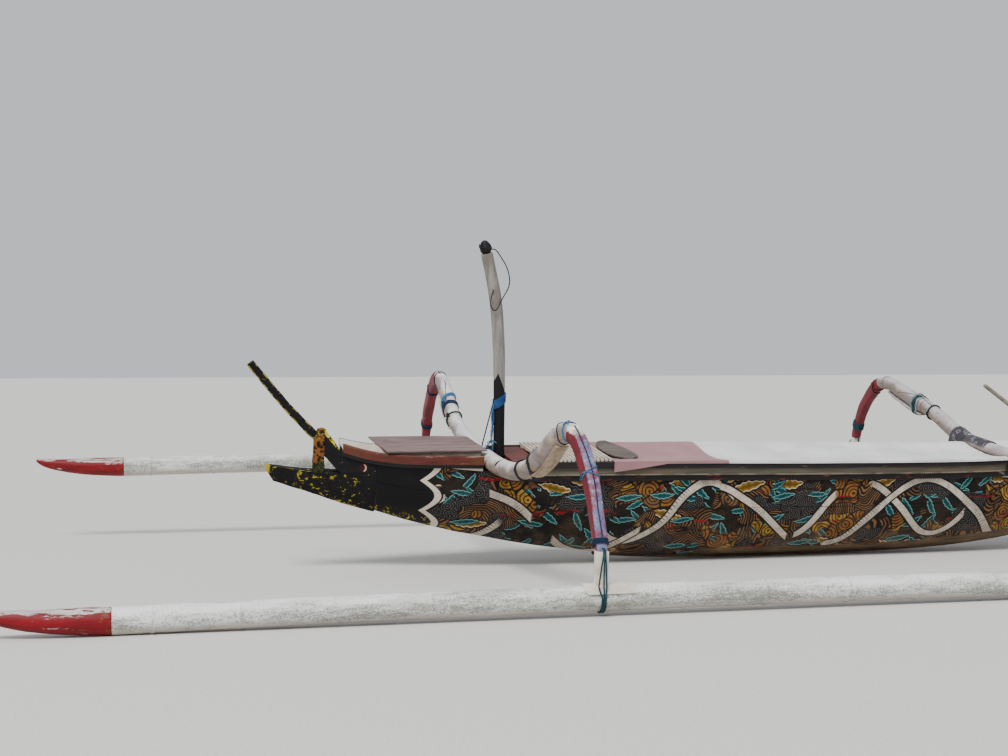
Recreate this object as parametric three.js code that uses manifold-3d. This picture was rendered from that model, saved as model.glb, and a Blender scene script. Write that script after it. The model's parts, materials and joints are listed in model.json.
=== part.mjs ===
// Outrigger canoe of the Balinese jukung type, stored as it rests on a flat beach:
// keel plank on the ground and the whole boat heeled over to its port float.
// Millimetres, +Z up. +X runs aft (the prow horn points to -X), +Y to starboard.
// Every table below is in the boat's own upright frame: x = 0 lies just aft of the
// forward boom, y = 0 is the centreline, z = 0 is the underside of the keel plank.
import * as THREE from 'three';
import { mergeVertices } from 'three/addons/utils/BufferGeometryUtils.js';
import Module from 'manifold-3d';

const wasm = await Module();
wasm.setup();

// Driving dimensions
const GAP = 0.3;                 // between pieces that touch
const SIDES = { port: -1, starboard: 1 };
const FLOAT_RADIUS = 65;
const FLOAT_OUT = 1875;          // hull centreline to float centreline
const FLOAT_HEIGHT = 275;        // float centreline above the keel's underside, at its two ends
const FLOAT_HOG = 22;            // how much the middle of a float bows up
const FLOAT_FORE = -2250;        // where the bamboo ends and the pointed plugs start
const FLOAT_AFT = 3700;
const TIP_LENGTH = 575;
const KEEL_HALF = 10;            // half width of the keel plank
const BOTTOM_HALF = 40;          // half width of the log's flat bottom
const KEEL_DEEP = 30;
const WALL = 26;                 // dugout wall at its rim
const WALL_SWELL = 8;            // how much thicker it is at its foot
const FLOOR_HALF = 14;           // least half width of the dugout's floor
const FLOOR = 55;                // dugout floor
const STRAKE = 22;               // side planks
const SEAM = 0.6;                // height of the log's rim, as a share of the hull's depth
const BILGE = 3.6;               // roundness of the bilge: 1 is a flat flank
const FOOT_SHARE = 0.6;          // widest flat bottom, as a share of the half breadth
const RAIL_RISE = 65;            // rails stand this far above the planking's edge
const HEAD_END = -800;           // the carved head joins the log here
const STERN_START = 3800;        // the carved stern joins the log here
const FORWARD_BOOM = -134;
const AFT_BOOM = 3220;

// Hull lines: x, half breadth at the planking's edge, edge height, keel height
const LINES = [
  [-1440, 34, 640, 596],
  [-1385, 40, 660, 530],
  [-1270, 50, 680, 484],
  [-1100, 62, 722, 432],
  [-1000, 84, 706, 396],
  [-800, 136, 660, 325],
  [-500, 205, 638, 236],
  [-150, 252, 606, 152],
  [300, 282, 604, 68],
  [800, 292, 600, 16],
  [1300, 294, 594, 0],
  [1750, 294, 586, 0],
  [2200, 288, 580, 0],
  [2800, 274, 574, 18],
  [3200, 250, 576, 56],
  [3500, 222, 588, 104],
  [3800, 182, 612, 172],
  [4100, 132, 652, 262],
];

// A smooth curve through one column of a table, by its first column
function along(table, column, x) {
  const last = table.length - 1;
  let i = 0;
  while (i < last - 1 && x > table[i + 1][0]) i += 1;
  const slope = (k) => {
    const a = table[Math.max(k - 1, 0)];
    const b = table[Math.min(k + 1, last)];
    return (b[column] - a[column]) / (b[0] - a[0]);
  };
  const [a, b] = [table[i], table[i + 1]];
  const step = b[0] - a[0];
  const t = THREE.MathUtils.clamp((x - a[0]) / step, 0, 1);
  const [t2, t3] = [t * t, t * t * t];
  return (2 * t3 - 3 * t2 + 1) * a[column] + (t3 - 2 * t2 + t) * step * slope(i)
    + (3 * t2 - 2 * t3) * b[column] + (t3 - t2) * step * slope(i + 1);
}

// The hull's frames: its lines are faired by the curve at these, and run straight between them
const HULL_X = [-800, -650, -500, -325, -150, 75, 300, 550, 800, 1050, 1300, 1750, 2200, 2500, 2800, 3000,
  3200, 3350, 3500, 3650, 3800];
const FRAMES = [-1440, -1385, -1270, -1150, -1100, -1055, -1010, -900, ...HULL_X, 3950, 4100];
const FAIRED = FRAMES.map((x) => [x, ...[1, 2, 3].map((column) => along(LINES, column, x))]);
function straight(table, column, x) {
  let i = 0;
  while (i < table.length - 2 && x > table[i + 1][0]) i += 1;
  const [a, b] = [table[i], table[i + 1]];
  return a[column] + (b[column] - a[column]) * THREE.MathUtils.clamp((x - a[0]) / (b[0] - a[0]), 0, 1);
}

const edgeAt = (x) => straight(FAIRED, 2, x);
const keelAt = (x) => straight(FAIRED, 3, x);
const edgeBreadthAt = (x) => straight(FAIRED, 1, x);

// Half breadth of a hull section at a share of its depth: full above, round at the bilge
function sectionAt(half, u) {
  const foot = Math.min(BOTTOM_HALF, FOOT_SHARE * half);
  return foot + (half - foot) * (1 - (1 - u) ** BILGE);
}
const breadthAt = (x, z) => sectionAt(
  edgeBreadthAt(x), THREE.MathUtils.clamp((z - keelAt(x)) / (edgeAt(x) - keelAt(x)), 0, 1),
);
const FLANK = [0, 0.08, 0.2, 0.4, 0.7, 1];       // shares of the depth that an outside follows

const range = (from, to, count) => Array.from(
  { length: count + 1 }, (_, i) => from + (to - from) * i / count,
);
const point = (x, y, z) => new THREE.Vector3(x, y, z);

// A closed solid through rings of equal count. A wall ring, whose second half comes back
// along the first, is capped by a strip, and any other ring by a fan round its middle.
function loft(rings, wallRing = false) {
  const n = rings[0].length;
  const position = rings.flat().flatMap((p) => [p.x, p.y, p.z]);
  const index = [];
  const quad = (a, b, c, d) => index.push(a, b, c, a, c, d);
  for (let r = 0; r < rings.length - 1; r += 1) {
    for (let i = 0; i < n; i += 1) {
      const j = (i + 1) % n;
      quad(r * n + i, r * n + j, (r + 1) * n + j, (r + 1) * n + i);
    }
  }
  for (const [r, flip] of [[0, true], [rings.length - 1, false]]) {
    const start = r * n;
    if (wallRing) {
      for (let i = 0; i < n / 2 - 1; i += 1) {
        const corners = [start + i, start + i + 1, start + n - 2 - i, start + n - 1 - i];
        quad(...(flip ? corners.reverse() : corners));
      }
    } else {
      const middle = rings[r].reduce((sum, p) => sum.add(p), point(0, 0, 0)).divideScalar(n);
      position.push(middle.x, middle.y, middle.z);
      for (let i = 0; i < n; i += 1) {
        const pair = [start + i, start + (i + 1) % n];
        index.push(position.length / 3 - 1, ...(flip ? pair.reverse() : pair));
      }
    }
  }
  const geometry = new THREE.BufferGeometry();
  geometry.setAttribute('position', new THREE.Float32BufferAttribute(position, 3));
  geometry.setIndex(volume(position, index) < 0 ? index.reverse() : index);
  geometry.computeVertexNormals();
  return geometry;
}

function volume(position, index) {
  const at = (i) => new THREE.Vector3().fromArray(position, 3 * i);
  let sum = 0;
  for (let i = 0; i < index.length; i += 3) {
    sum += at(index[i]).dot(at(index[i + 1]).cross(at(index[i + 2])));
  }
  return sum;
}

// The solid that manifold joins or cuts, and the geometry that comes back
function solid(geometry) {
  const bare = geometry.clone();
  bare.deleteAttribute('normal');
  bare.deleteAttribute('uv');
  const merged = mergeVertices(bare, 1e-3);
  return new wasm.Manifold(new wasm.Mesh({
    numProp: 3,
    vertProperties: new Float32Array(merged.attributes.position.array),
    triVerts: new Uint32Array(merged.index.array),
  }));
}

function surface(manifold) {
  const mesh = manifold.getMesh();
  const geometry = new THREE.BufferGeometry();
  geometry.setAttribute('position', new THREE.BufferAttribute(new Float32Array(mesh.vertProperties), 3));
  geometry.setIndex(new THREE.BufferAttribute(new Uint32Array(mesh.triVerts), 1));
  geometry.computeVertexNormals();
  return geometry;
}

// Colours, roughness and metalness of the finishes
const FINISH = {
  mural: [0x4b463c, 0.55],
  black: [0x1d1c1a, 0.6],
  rust: [0x8a4a22, 0.85],
  mustard: [0xa58a35, 0.8],
  wood: [0x8d7f6c, 0.85],
  maroon: [0x5c1f1f, 0.6],
  cream: [0xd8d2c2, 0.7],
  ply: [0xa07f78, 0.85],
  mast: [0xa9a294, 0.85],
  white: [0xdad9d4, 0.55],
  tan: [0xb08a5c, 0.7],
  red: [0x8e1f22, 0.5],
  bamboo: [0xd0cfc6, 0.5],
  crimson: [0xa31c24, 0.45],
  rope: [0x24507c, 0.8],
  pink: [0xb88f90, 0.9],
  tarp: [0xe6e5e2, 0.6],
  dark: [0x2a2728, 0.9],
  oar: [0x9b8a6d, 0.8],
};

const boat = new THREE.Group();
function add(name, geometry, finish, parent = boat) {
  const [color, roughness] = FINISH[finish];
  const mesh = new THREE.Mesh(geometry, new THREE.MeshStandardMaterial({ color, roughness, metalness: 0 }));
  mesh.name = name;
  parent.add(mesh);
  return mesh;
}

// Hull: a hollowed log below, side planks above it, a carved head and a carved stern
const STEPS = [0, 0.05, 0.12, 0.22, 0.36, 0.55, 0.78, 1];
const seamAt = (x) => keelAt(x) + KEEL_DEEP + (edgeAt(x) - keelAt(x) - KEEL_DEEP) * SEAM;

function logRing(x) {
  const bottom = keelAt(x) + KEEL_DEEP + GAP;
  const rim = seamAt(x) - GAP;
  const outside = STEPS.map((u) => bottom + (rim - bottom) * u).map((z) => [breadthAt(x, z), z]);
  const inside = STEPS.map((u) => bottom + FLOOR + (rim - bottom - FLOOR) * u)
    .map((z) => [Math.max(breadthAt(x, z) - WALL - WALL_SWELL * (rim - z) / rim, FLOOR_HALF), z]);
  const half = (pairs, side) => pairs.map(([y, z]) => point(x, side * y, z));
  return [
    ...half(outside, -1).reverse(), ...half(outside, 1),
    ...half(inside, 1).reverse(), ...half(inside, -1),
  ];
}
const LOG = { log_fore: [-800, 550], log_middle: [550, 2500], log_aft: [2500, 3800] };
for (const [name, [fore, aft]] of Object.entries(LOG)) {
  const stations = [fore + GAP / 2, ...HULL_X.filter((x) => x > fore && x < aft), aft - GAP / 2];
  add(name, loft(stations.map(logRing), true), 'mural');
}

function strake(side) {
  return loft(HULL_X.map((x) => {
    const heights = range(seamAt(x), edgeAt(x), 3);
    const outside = heights.map((z) => point(x, side * breadthAt(x, z), z));
    const inside = heights.map((z) => point(x, side * (breadthAt(x, z) - STRAKE), z));
    return [...outside, ...inside.reverse()];
  }), true);
}
add('strake_port', strake(-1), 'mural');
add('strake_starboard', strake(1), 'mural');

const keelPlankX = HULL_X.filter((x) => x > 500 && x < 3700);
add('keel_plank', loft(keelPlankX.map((x) => [
  point(x, -KEEL_HALF, keelAt(x)), point(x, KEEL_HALF, keelAt(x)),
  point(x, KEEL_HALF, keelAt(x) + KEEL_DEEP), point(x, -KEEL_HALF, keelAt(x) + KEEL_DEEP),
])), 'wood');

// A block that follows the hull's outside between two heights
function hullBlock(stations) {
  return loft(stations.map(([x, low, high]) => {
    const heights = FLANK.map((u) => low + (high - low) * u);
    const flank = (side) => heights.map((z) => point(x, side * breadthAt(x, z), z));
    return [...flank(-1).reverse(), ...flank(1)];
  }));
}

// Head: x, underside, top. The lower jaw reaches forward, with an open mouth above it.
const HEAD_JOINT = HEAD_END - GAP;
const JAW_TOP = 580;
const JAW = [
  [-1431, 606, 630], [-1385, 536, 622], [-1270, 498, 604], [-1150, 456, 588], [-1055, 420, JAW_TOP],
  [-920, 372, JAW_TOP], [HEAD_JOINT, 333, JAW_TOP],
];
const SNOUT_FRONT = -1091;
const SNOUT = [
  [SNOUT_FRONT, 674, 806], [-1040, 622, 740], [-1000, JAW_TOP + GAP, 701],
  ...[-990, -900, HEAD_JOINT].map((x) => [x, JAW_TOP + GAP, edgeAt(x) - GAP]),
];
add('lower_jaw', hullBlock(JAW), 'black');
add('snout', hullBlock(SNOUT), 'black');

// Unit tangent of a centre path at one of its rows
function tangentAt(path, i) {
  const before = path[Math.max(i - 1, 0)];
  const after = path[Math.min(i + 1, path.length - 1)];
  const length = Math.hypot(after[0] - before[0], after[1] - before[1]);
  return [(after[0] - before[0]) / length, (after[1] - before[1]) / length];
}

// A solid swept along a centre path in a vertical plane, or along a run of its rows.
// Path rows: distance along the plane, height, half thickness in the plane, half width across it.
// Choices: first and last row, corners per ring, squareness of the ring (2 is round), growth.
function sweep(path, place, choices = {}) {
  const { first = 0, last = path.length - 1, sides = 12, squareness = 2, grow = 0 } = choices;
  const corner = (v) => Math.sign(v) * Math.abs(v) ** (2 / squareness);
  const rings = [];
  for (let i = first; i <= last; i += 1) {
    const [d, z, thick, wide] = path[i];
    const [td, tz] = tangentAt(path, i);
    const shift = (i === last ? -GAP / 2 : 0) + (i === first ? GAP / 2 : 0);
    rings.push(range(0, 2 * Math.PI, sides).slice(0, sides).map((angle) => {
      const up = (thick + grow) * corner(Math.sin(angle));
      const across = (wide + grow) * corner(Math.cos(angle));
      return place(d + shift * td - up * tz, z + shift * tz + up * td, across);
    }));
  }
  return rings;
}
const inCentrePlane = (d, z, across) => point(d, across, z);
const box = (x0, x1, y0, y1, z0, z1) => loft([x0, x1].map((x) => [
  point(x, y0, z0), point(x, y1, z0), point(x, y1, z1), point(x, y0, z1),
]));

// Prow horn, the tusk under it and the weathered crest on the snout
const HORN = [
  [SNOUT_FRONT - GAP, 750, 26, 26], [-1140, 790, 27, 25], [-1215, 866, 26, 24],
  [-1300, 957, 25, 23], [-1410, 1088, 25, 22], [-1517, 1222, 24, 21],
];
function hornSolid(grow) {
  const rings = sweep(HORN, inCentrePlane, { sides: 10, squareness: 3, grow });
  rings[0].forEach((p) => p.setX(SNOUT_FRONT - GAP));
  return loft(rings);
}
add('prow_horn', hornSolid(0), 'black');
// Tusk: a block slotted over the horn's root. Rows: height, fore face, half width
const TUSK = [[572, -1156, 36], [640, -1154, 35], [760, -1150, 33], [834, -1128, 30]];
const TUSK_BACK = SNOUT_FRONT - GAP;
const tuskBlock = loft(TUSK.map(([z, fore, half]) => [
  point(fore, -half, z), point(TUSK_BACK, -half, z), point(TUSK_BACK, half, z), point(fore, half, z),
]));
const jawCutter = hullBlock(JAW.map(([x, low, high]) => [x, low, high + GAP]));
add('tusk', surface(solid(tuskBlock).subtract(solid(hornSolid(GAP))).subtract(solid(jawCutter))), 'rust');
// Crest: snout row, rise, half width at its foot
const CREST = [[0, 30, 28], [1, 28, 32], [2, 12, 36]];
const CREST_TOP = 0.6;           // its top is this share of its foot's width
add('snout_crest', loft(CREST.map(([row, rise, half]) => {
  const [x, , foot] = SNOUT[row];
  return [
    point(x, -half, foot + GAP), point(x, half, foot + GAP),
    point(x, half * CREST_TOP, foot + rise), point(x, -half * CREST_TOP, foot + rise),
  ];
})), 'mustard');

// Stern: an upswept tail. Rows: outer x, outer z, inner x, inner z, half width
const STERN_JOINT = STERN_START + GAP;
const TAIL = [
  [STERN_JOINT, 172, STERN_JOINT, 612, 182], [4010, 226, 3960, 634, 150], [4200, 292, 4110, 662, 118],
  [4390, 392, 4250, 704, 88], [4550, 528, 4370, 770, 64], [4660, 700, 4465, 866, 48],
  [4712, 884, 4540, 985, 38], [4722, 1064, 4592, 1112, 32], [4690, 1236, 4606, 1246, 27],
];
add('stern_tail', loft(TAIL.map(([ox, oz, ix, iz, half]) => {
  const flank = (side) => FLANK.map((u) => point(
    ox + (ix - ox) * u, side * sectionAt(half, u), oz + (iz - oz) * u,
  ));
  return [...flank(-1).reverse(), ...flank(1)];
})), 'mural');

// Rails outside the planking: three stepped bands aft of the forward boom, and a maroon plank with
// a thin skirt before it.
// Profile rows: outward offset, height below the rail's top
const BOOM_RADIUS = 53;
const BOOM_CLEAR = BOOM_RADIUS + 6;
const railTopAt = (x) => edgeAt(x) + RAIL_RISE;
const FOREDECK_TOP = [
  [-1010, 770], [-960, 749], [-860, 726], [-760, 708], [-620, 701], [-400, 703], [-150, 704],
];
const RAIL_PROFILE = [[14, 116], [14, 82], [26, 80], [26, 38], [36, 34], [36, 0]];
const FOREDECK_RAIL_PROFILE = [[6, 74], [8, 54], [27, 50], [28, 6], [24, 0]];
function rail(stations, profile, topAt, side) {
  return loft(stations.map((x) => {
    const skin = edgeBreadthAt(x) + GAP;
    const outside = profile.map(([out, drop]) => point(x, side * (skin + out), topAt(x) - drop));
    const inside = range(profile[0][1], 0, profile.length - 1)
      .map((drop) => point(x, side * skin, topAt(x) - drop));
    return [...outside, ...inside.reverse()];
  }), true);
}
const RAIL_END = 4080;
const railX = [FORWARD_BOOM + BOOM_CLEAR, ...HULL_X.filter((x) => x > 0), 3950, RAIL_END];
const foredeckX = [-990, -900, HEAD_END, -650, -500, -325, FORWARD_BOOM - BOOM_CLEAR];
const OAR_BEAM = { x: 3760, half: 26, deep: 40, port: -230, starboard: 372 };
const NOTCH = { wide: 500, top: 900 };
function notchedRail(side) {
  const notch = (x, half) => solid(box(x - half, x + half, -NOTCH.wide, NOTCH.wide, edgeAt(x), NOTCH.top));
  return surface(solid(rail(railX, RAIL_PROFILE, railTopAt, side))
    .subtract(notch(AFT_BOOM, BOOM_RADIUS + 2))
    .subtract(notch(OAR_BEAM.x, OAR_BEAM.half + 1)));
}
const foredeckTopAt = (x) => along(FOREDECK_TOP, 1, x);
for (const [name, side] of Object.entries(SIDES)) {
  add(`rail_${name}`, notchedRail(side), 'wood');
  add(`foredeck_rail_${name}`, rail(foredeckX, FOREDECK_RAIL_PROFILE, foredeckTopAt, side), 'maroon');
}

// Foredeck, crowned between its rails up to a level ridge, and the loose board that lies on it
const DECK_THICK = 16;
const RIDGE = 737;
function deckRing(x) {
  const half = edgeBreadthAt(x) - 1;
  const across = range(-1, 1, 10);
  const arch = (u) => edgeAt(x) + (RIDGE - DECK_THICK - edgeAt(x)) * (1 - Math.abs(u) ** 3);
  return [
    ...across.map((u) => point(x, u * half, arch(u) + GAP)),
    ...across.map((u) => point(x, u * half, arch(u) + DECK_THICK)).reverse(),
  ];
}
add('foredeck', loft(foredeckX.map(deckRing), true), 'cream');
const BOARD = { rise: 4.6, thick: 9, slope: 6 };
const outlined = (pairs) => new THREE.Shape(pairs.map((pair) => new THREE.Vector2(...pair)));
const boardShape = outlined([
  [-816, 125], [-796, 14], [-746, -196], [-430, -206], [-162, -200], [-190, -60], [-226, 108], [-520, 120],
]);
const boardGeometry = new THREE.ExtrudeGeometry(boardShape, { depth: BOARD.thick, bevelEnabled: false });
boardGeometry.rotateX(THREE.MathUtils.degToRad(BOARD.slope));
boardGeometry.translate(0, 0, RIDGE + BOARD.rise);
add('foredeck_board', boardGeometry, 'ply');

// Mast on the hull's floor against the forward boom, its knob, and the thwart behind it
const MAST = [
  [-47, 223, 33, 33], [-47, 560, 33, 33], [-47, 708, 33, 33], [-53, 1065, 36, 36], [-62, 1290, 37, 37],
  [-71, 1438, 37, 37], [-87, 1586, 36, 36], [-115, 1725, 37, 37], [-148, 1862, 38, 38],
];
add('mast', loft(sweep(MAST, inCentrePlane, { sides: 14 })), 'mast');
const KNOB = [
  [-148.5, 1862.6, 26, 24], [-152, 1876, 34, 30], [-158, 1900, 36, 32], [-164, 1926, 26, 22],
  [-166, 1938, 12, 12],
];
add('mast_knob', loft(sweep(KNOB, inCentrePlane, { sides: 10 })), 'black');

// A thin cord from the mast's head: it stands off aft, comes back and hangs in a loop on the port side
const CORD = { radius: 3.5, corners: 8, steps: 56 };
const CORD_ROUTE = [
  [-118.8, -7, 1887], [-106, -9, 1887], [-94, -12, 1879], [-78, -16, 1859], [-60, -18, 1832],
  [-41, -20, 1802], [-25, -22, 1766], [-15, -24, 1726], [-14, -27, 1688], [-24, -32, 1656],
  [-40, -39, 1630], [-56, -46, 1606], [-70, -50, 1580],
  [-82, -51, 1553], [-96, -50, 1534], [-112, -48, 1533], [-124, -46, 1549], [-128, -45, 1574],
  [-126, -44, 1600], [-121, -42, 1624], [-111.5, -38, 1652],
];
const cordCurve = new THREE.CatmullRomCurve3(CORD_ROUTE.map((p) => point(...p)));
const cordSection = outlined(range(0, 2 * Math.PI, CORD.corners).slice(0, CORD.corners)
  .map((a) => [CORD.radius * Math.cos(a), CORD.radius * Math.sin(a)]));
add('mast_cord', new THREE.ExtrudeGeometry(cordSection, {
  steps: CORD.steps, bevelEnabled: false, extrudePath: cordCurve,
}), 'rope');

const MAST_THWART = { fore: -13, aft: 140, thick: 60 };
const thwartFoot = edgeAt(MAST_THWART.fore) + GAP;
const thwartX = [MAST_THWART.fore, 75, MAST_THWART.aft];
add('mast_thwart', loft(thwartX.map((x) => {
  const half = edgeBreadthAt(x) - 1;
  const top = thwartFoot + MAST_THWART.thick;
  return [point(x, -half, thwartFoot), point(x, half, thwartFoot), point(x, half, top), point(x, -half, top)];
})), 'maroon');

// Slatted deck panel across both rails, on two bearers that drop inside them
const PANEL = { fore: 150, aft: 566, slats: 17, slat: 15, bearer: 30, thick: 16, overlap: 30, inside: 6 };
function slatPanel() {
  const half = edgeBreadthAt(PANEL.fore) + PANEL.overlap;
  const inner = edgeBreadthAt(PANEL.fore) - PANEL.inside;
  const foot = Math.max(...[PANEL.fore, 300, 550, PANEL.aft].map(railTopAt)) + GAP;
  const bearers = [-inner, inner - PANEL.bearer].map((y) => solid(
    box(PANEL.fore, PANEL.aft, y, y + PANEL.bearer, foot - PANEL.bearer, foot + 1),
  ));
  const slats = range(PANEL.fore, PANEL.aft - PANEL.slat, PANEL.slats - 1).map((x) => solid(
    box(x, x + PANEL.slat, -half, half, foot, foot + PANEL.thick),
  ));
  return surface([...bearers, ...slats].reduce((whole, part) => whole.add(part)));
}
add('deck_slats', slatPanel(), 'cream');

// Deck covers laid over both rails; FLAP gives x and how far a cover hangs outside the port rail
const SHEET = 6;
const RAIL_WIDE = 36;
const COVER_OVERHANG = 8;
const COVER_SAG = 26;
const COVER_EDGE = 8;
const COVERS = { pink: [575, 1284], white: [1285, 3158], aft: [3276, 3480] };
const FLAP = [[575, 58], [640, 50], [800, 26], [900, 9], [1284, COVER_EDGE], [3480, COVER_EDGE]];
function cover(fore, aft) {
  const between = [fore, 640, 900, ...HULL_X].filter((x) => x >= fore && x < aft - 1);
  return loft([...between.sort((a, b) => a - b), aft].map((x) => {
    const rim = edgeBreadthAt(x) + GAP + RAIL_WIDE;
    const top = railTopAt(x) + GAP;
    const flap = straight(FLAP, 1, x);
    const inner = rim - RAIL_WIDE - 4;
    const sagAt = (y) => COVER_SAG * Math.max(0, 1 - (y / inner) ** 2);
    const across = [rim + COVER_OVERHANG, ...range(inner, -inner, 8), -rim];
    const skin = (out, rise) => [
      ...across.map((y) => [y, top + rise - sagAt(y)]), [-rim - out, top + rise], [-rim - out, top - flap],
    ];
    const [below, above] = [skin(GAP, 0), skin(GAP + SHEET, SHEET)];
    const ring = (pairs) => pairs.map(([y, z]) => point(x, y, z));
    return [...ring(below), ...ring(above).reverse()];
  }), true);
}
add('cloth_pink', cover(...COVERS.pink), 'pink');
add('cover_white', cover(...COVERS.white), 'tarp');
add('cover_aft', cover(...COVERS.aft), 'tarp');

// A leaf-shaped board stowed across the pink cloth
const LEAF = { thick: 12, tip: 674, reach: 330, slope: 1.1 };
const leafShape = outlined([
  [640, 290], [672, 322], [712, 330], [745, 180], [768, 20], [778, -90], [768, -175], [728, -214],
  [676, -205], [626, -145], [603, -60], [598, 60], [606, 180],
]);
const leaf = new THREE.ExtrudeGeometry(leafShape, { depth: LEAF.thick, bevelEnabled: false });
const leafSlope = THREE.MathUtils.degToRad(LEAF.slope);
leaf.rotateX(leafSlope).translate(0, 0, LEAF.tip - LEAF.reach * Math.sin(leafSlope));
add('stowed_board', leaf, 'wood');

// Booms: a beam across the hull, curved outer arms scarfed to it, a knee lashed under each bend
// and a leg down to the float. Rows: distance out, height, half thickness, half width.
const boomFoot = (x) => edgeAt(x) + GAP + BOOM_RADIUS;
const FORWARD_PATH = [
  [0, boomFoot(FORWARD_BOOM), 53, 53], [300, boomFoot(FORWARD_BOOM), 53, 53], [450, 662, 53, 52],
  [620, 678, 53, 51], [760, 704, 53, 50], [880, 745, 54, 48], [1000, 800, 58, 46], [1090, 857, 60, 44],
  [1170, 912, 60, 43], [1260, 960, 58, 42], [1340, 985, 54, 40], [1420, 992, 50, 38], [1505, 965, 48, 36],
  [1610, 880, 48, 36], [1710, 760, 47, 36], [1795, 642, 44, 35], [1864, 530, 36, 30],
];
const AFT_PATH = [
  [0, boomFoot(AFT_BOOM), 53, 53], [300, boomFoot(AFT_BOOM) + 4, 53, 53], [470, 674, 53, 52],
  [620, 726, 53, 51], [745, 766, 52, 50], [880, 794, 52, 48], [1000, 813, 52, 46], [1130, 838, 51, 45],
  [1250, 863, 49, 44], [1360, 885, 47, 42], [1450, 892, 45, 40], [1530, 872, 43, 36], [1610, 822, 43, 33],
  [1700, 738, 43, 32], [1780, 640, 42, 32], [1840, 530, 40, 31], [1872, 410, 34, 30],
];
const SCARF = 5;                 // path row where beam and arm meet
const APEX = 11;                 // path row where arm and leg meet
const KNEE = { first: 5, last: 9, thick: 15, taper: 0.4, wide: 38 };
// Arms are natural crooks, so each side has its own sweep aft, its own rise above the beam as a
// share of the path's, and its own height for the leg's foot
const BOOMS = [
  { name: 'forward', x: FORWARD_BOOM, path: FORWARD_PATH, aft: { port: 180, starboard: -25 },
    rise: { port: 1.12, starboard: 0.84 }, foot: { port: 530, starboard: 455 } },
  { name: 'aft', x: AFT_BOOM, path: AFT_PATH, aft: { port: 80, starboard: -50 },
    rise: { port: 1, starboard: 1 }, foot: { port: 410, starboard: 410 } },
];
const SWEEP_FROM = 300;
const SWEEP_TO = 1700;
const floatLine = (x) => {
  const middle = (FLOAT_FORE + FLOAT_AFT) / 2;
  return FLOAT_HEIGHT + FLOAT_HOG * (1 - ((x - middle) / (FLOAT_AFT - middle)) ** 2);
};
const SADDLE = { fore: 90, aft: 160, open: 1.05, thick: 8, clear: 0.9 };
const PEG = { long: 60, half: 22, root: 2 };

function saddleAndPeg(x, legFoot) {
  const axis = floatLine(x);
  const arc = (radius, from, to) => range(from, to, 10)
    .map((a) => [radius * Math.sin(a), radius * Math.cos(a)]);
  const radius = FLOAT_RADIUS + SADDLE.clear;
  const shape = outlined([
    ...arc(radius, SADDLE.open, -SADDLE.open), ...arc(radius + SADDLE.thick, -SADDLE.open, SADDLE.open),
  ]);
  const long = SADDLE.fore + SADDLE.aft;
  const saddle = new THREE.ExtrudeGeometry(shape, { depth: long, bevelEnabled: false });
  saddle.rotateX(Math.PI / 2).rotateZ(Math.PI / 2).translate(-SADDLE.fore, 0, 0);
  const slope = (floatLine(x + SADDLE.aft) - floatLine(x - SADDLE.fore)) / long;
  saddle.rotateY(-Math.atan(slope)).translate(x, 0, axis);
  const peg = box(x - PEG.long / 2, x + PEG.long / 2, -PEG.half, PEG.half, axis + radius + PEG.root, legFoot);
  return surface(solid(saddle).add(solid(peg)));
}

function armPath({ path, rise, foot }, side) {
  const base = path[0][1];
  return path.map(([d, z, ...section], row) => {
    if (row === path.length - 1) return [d, foot[side], ...section];
    return [d, z > base ? base + (z - base) * rise[side] : z, ...section];
  });
}

const placeOn = (boom, side) => (d, z, across) => {
  const out = THREE.MathUtils.clamp((d - SWEEP_FROM) / (SWEEP_TO - SWEEP_FROM), 0, 1);
  return point(boom.x + boom.aft[side] * out + across, SIDES[side] * d, z);
};

for (const boom of BOOMS) {
  const paths = { port: armPath(boom, 'port'), starboard: armPath(boom, 'starboard') };
  const halves = Object.keys(SIDES).map((side) => sweep(paths[side], placeOn(boom, side), { last: SCARF }));
  add(`boom_${boom.name}`, loft([...halves[0].slice(1).reverse(), ...halves[1].slice(1)]), 'white');
  for (const side of Object.keys(SIDES)) {
    const path = paths[side];
    const place = placeOn(boom, side);
    const label = `${boom.name}_${side}`;
    add(`arm_${label}`, loft(sweep(path, place, { first: SCARF, last: APEX, squareness: 2.6 })), 'white');
    const leg = sweep(path, place, { first: APEX, squareness: 4 });
    const legFoot = boom.foot[side];
    leg.at(-1).forEach((p) => p.setZ(legFoot));
    add(`leg_${label}`, loft(leg), 'red');
    const under = sweep(path, place, { first: KNEE.first - 1, last: KNEE.last + 1 }).slice(1, -1);
    const knee = under.map((ring, i) => {
      const row = path[KNEE.first + i];
      const [td, tz] = tangentAt(path, KNEE.first + i);
      const ends = i === 0 || i === under.length - 1;
      const thick = ends ? KNEE.thick * KNEE.taper : KNEE.thick;
      const drop = row[2] + 2 * GAP + thick;
      return range(0, 2 * Math.PI, 12).slice(0, 12).map((angle) => {
        const up = thick * Math.sin(angle) - drop;
        return place(row[0] - up * tz, row[1] + up * td, KNEE.wide * Math.cos(angle));
      });
    });
    add(`knee_${label}`, loft(knee), 'tan');
    const foot = saddleAndPeg(boom.x + boom.aft[side], legFoot - GAP);
    foot.translate(0, SIDES[side] * FLOAT_OUT, 0);
    add(`saddle_${label}`, foot, 'white');
  }
}

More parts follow.
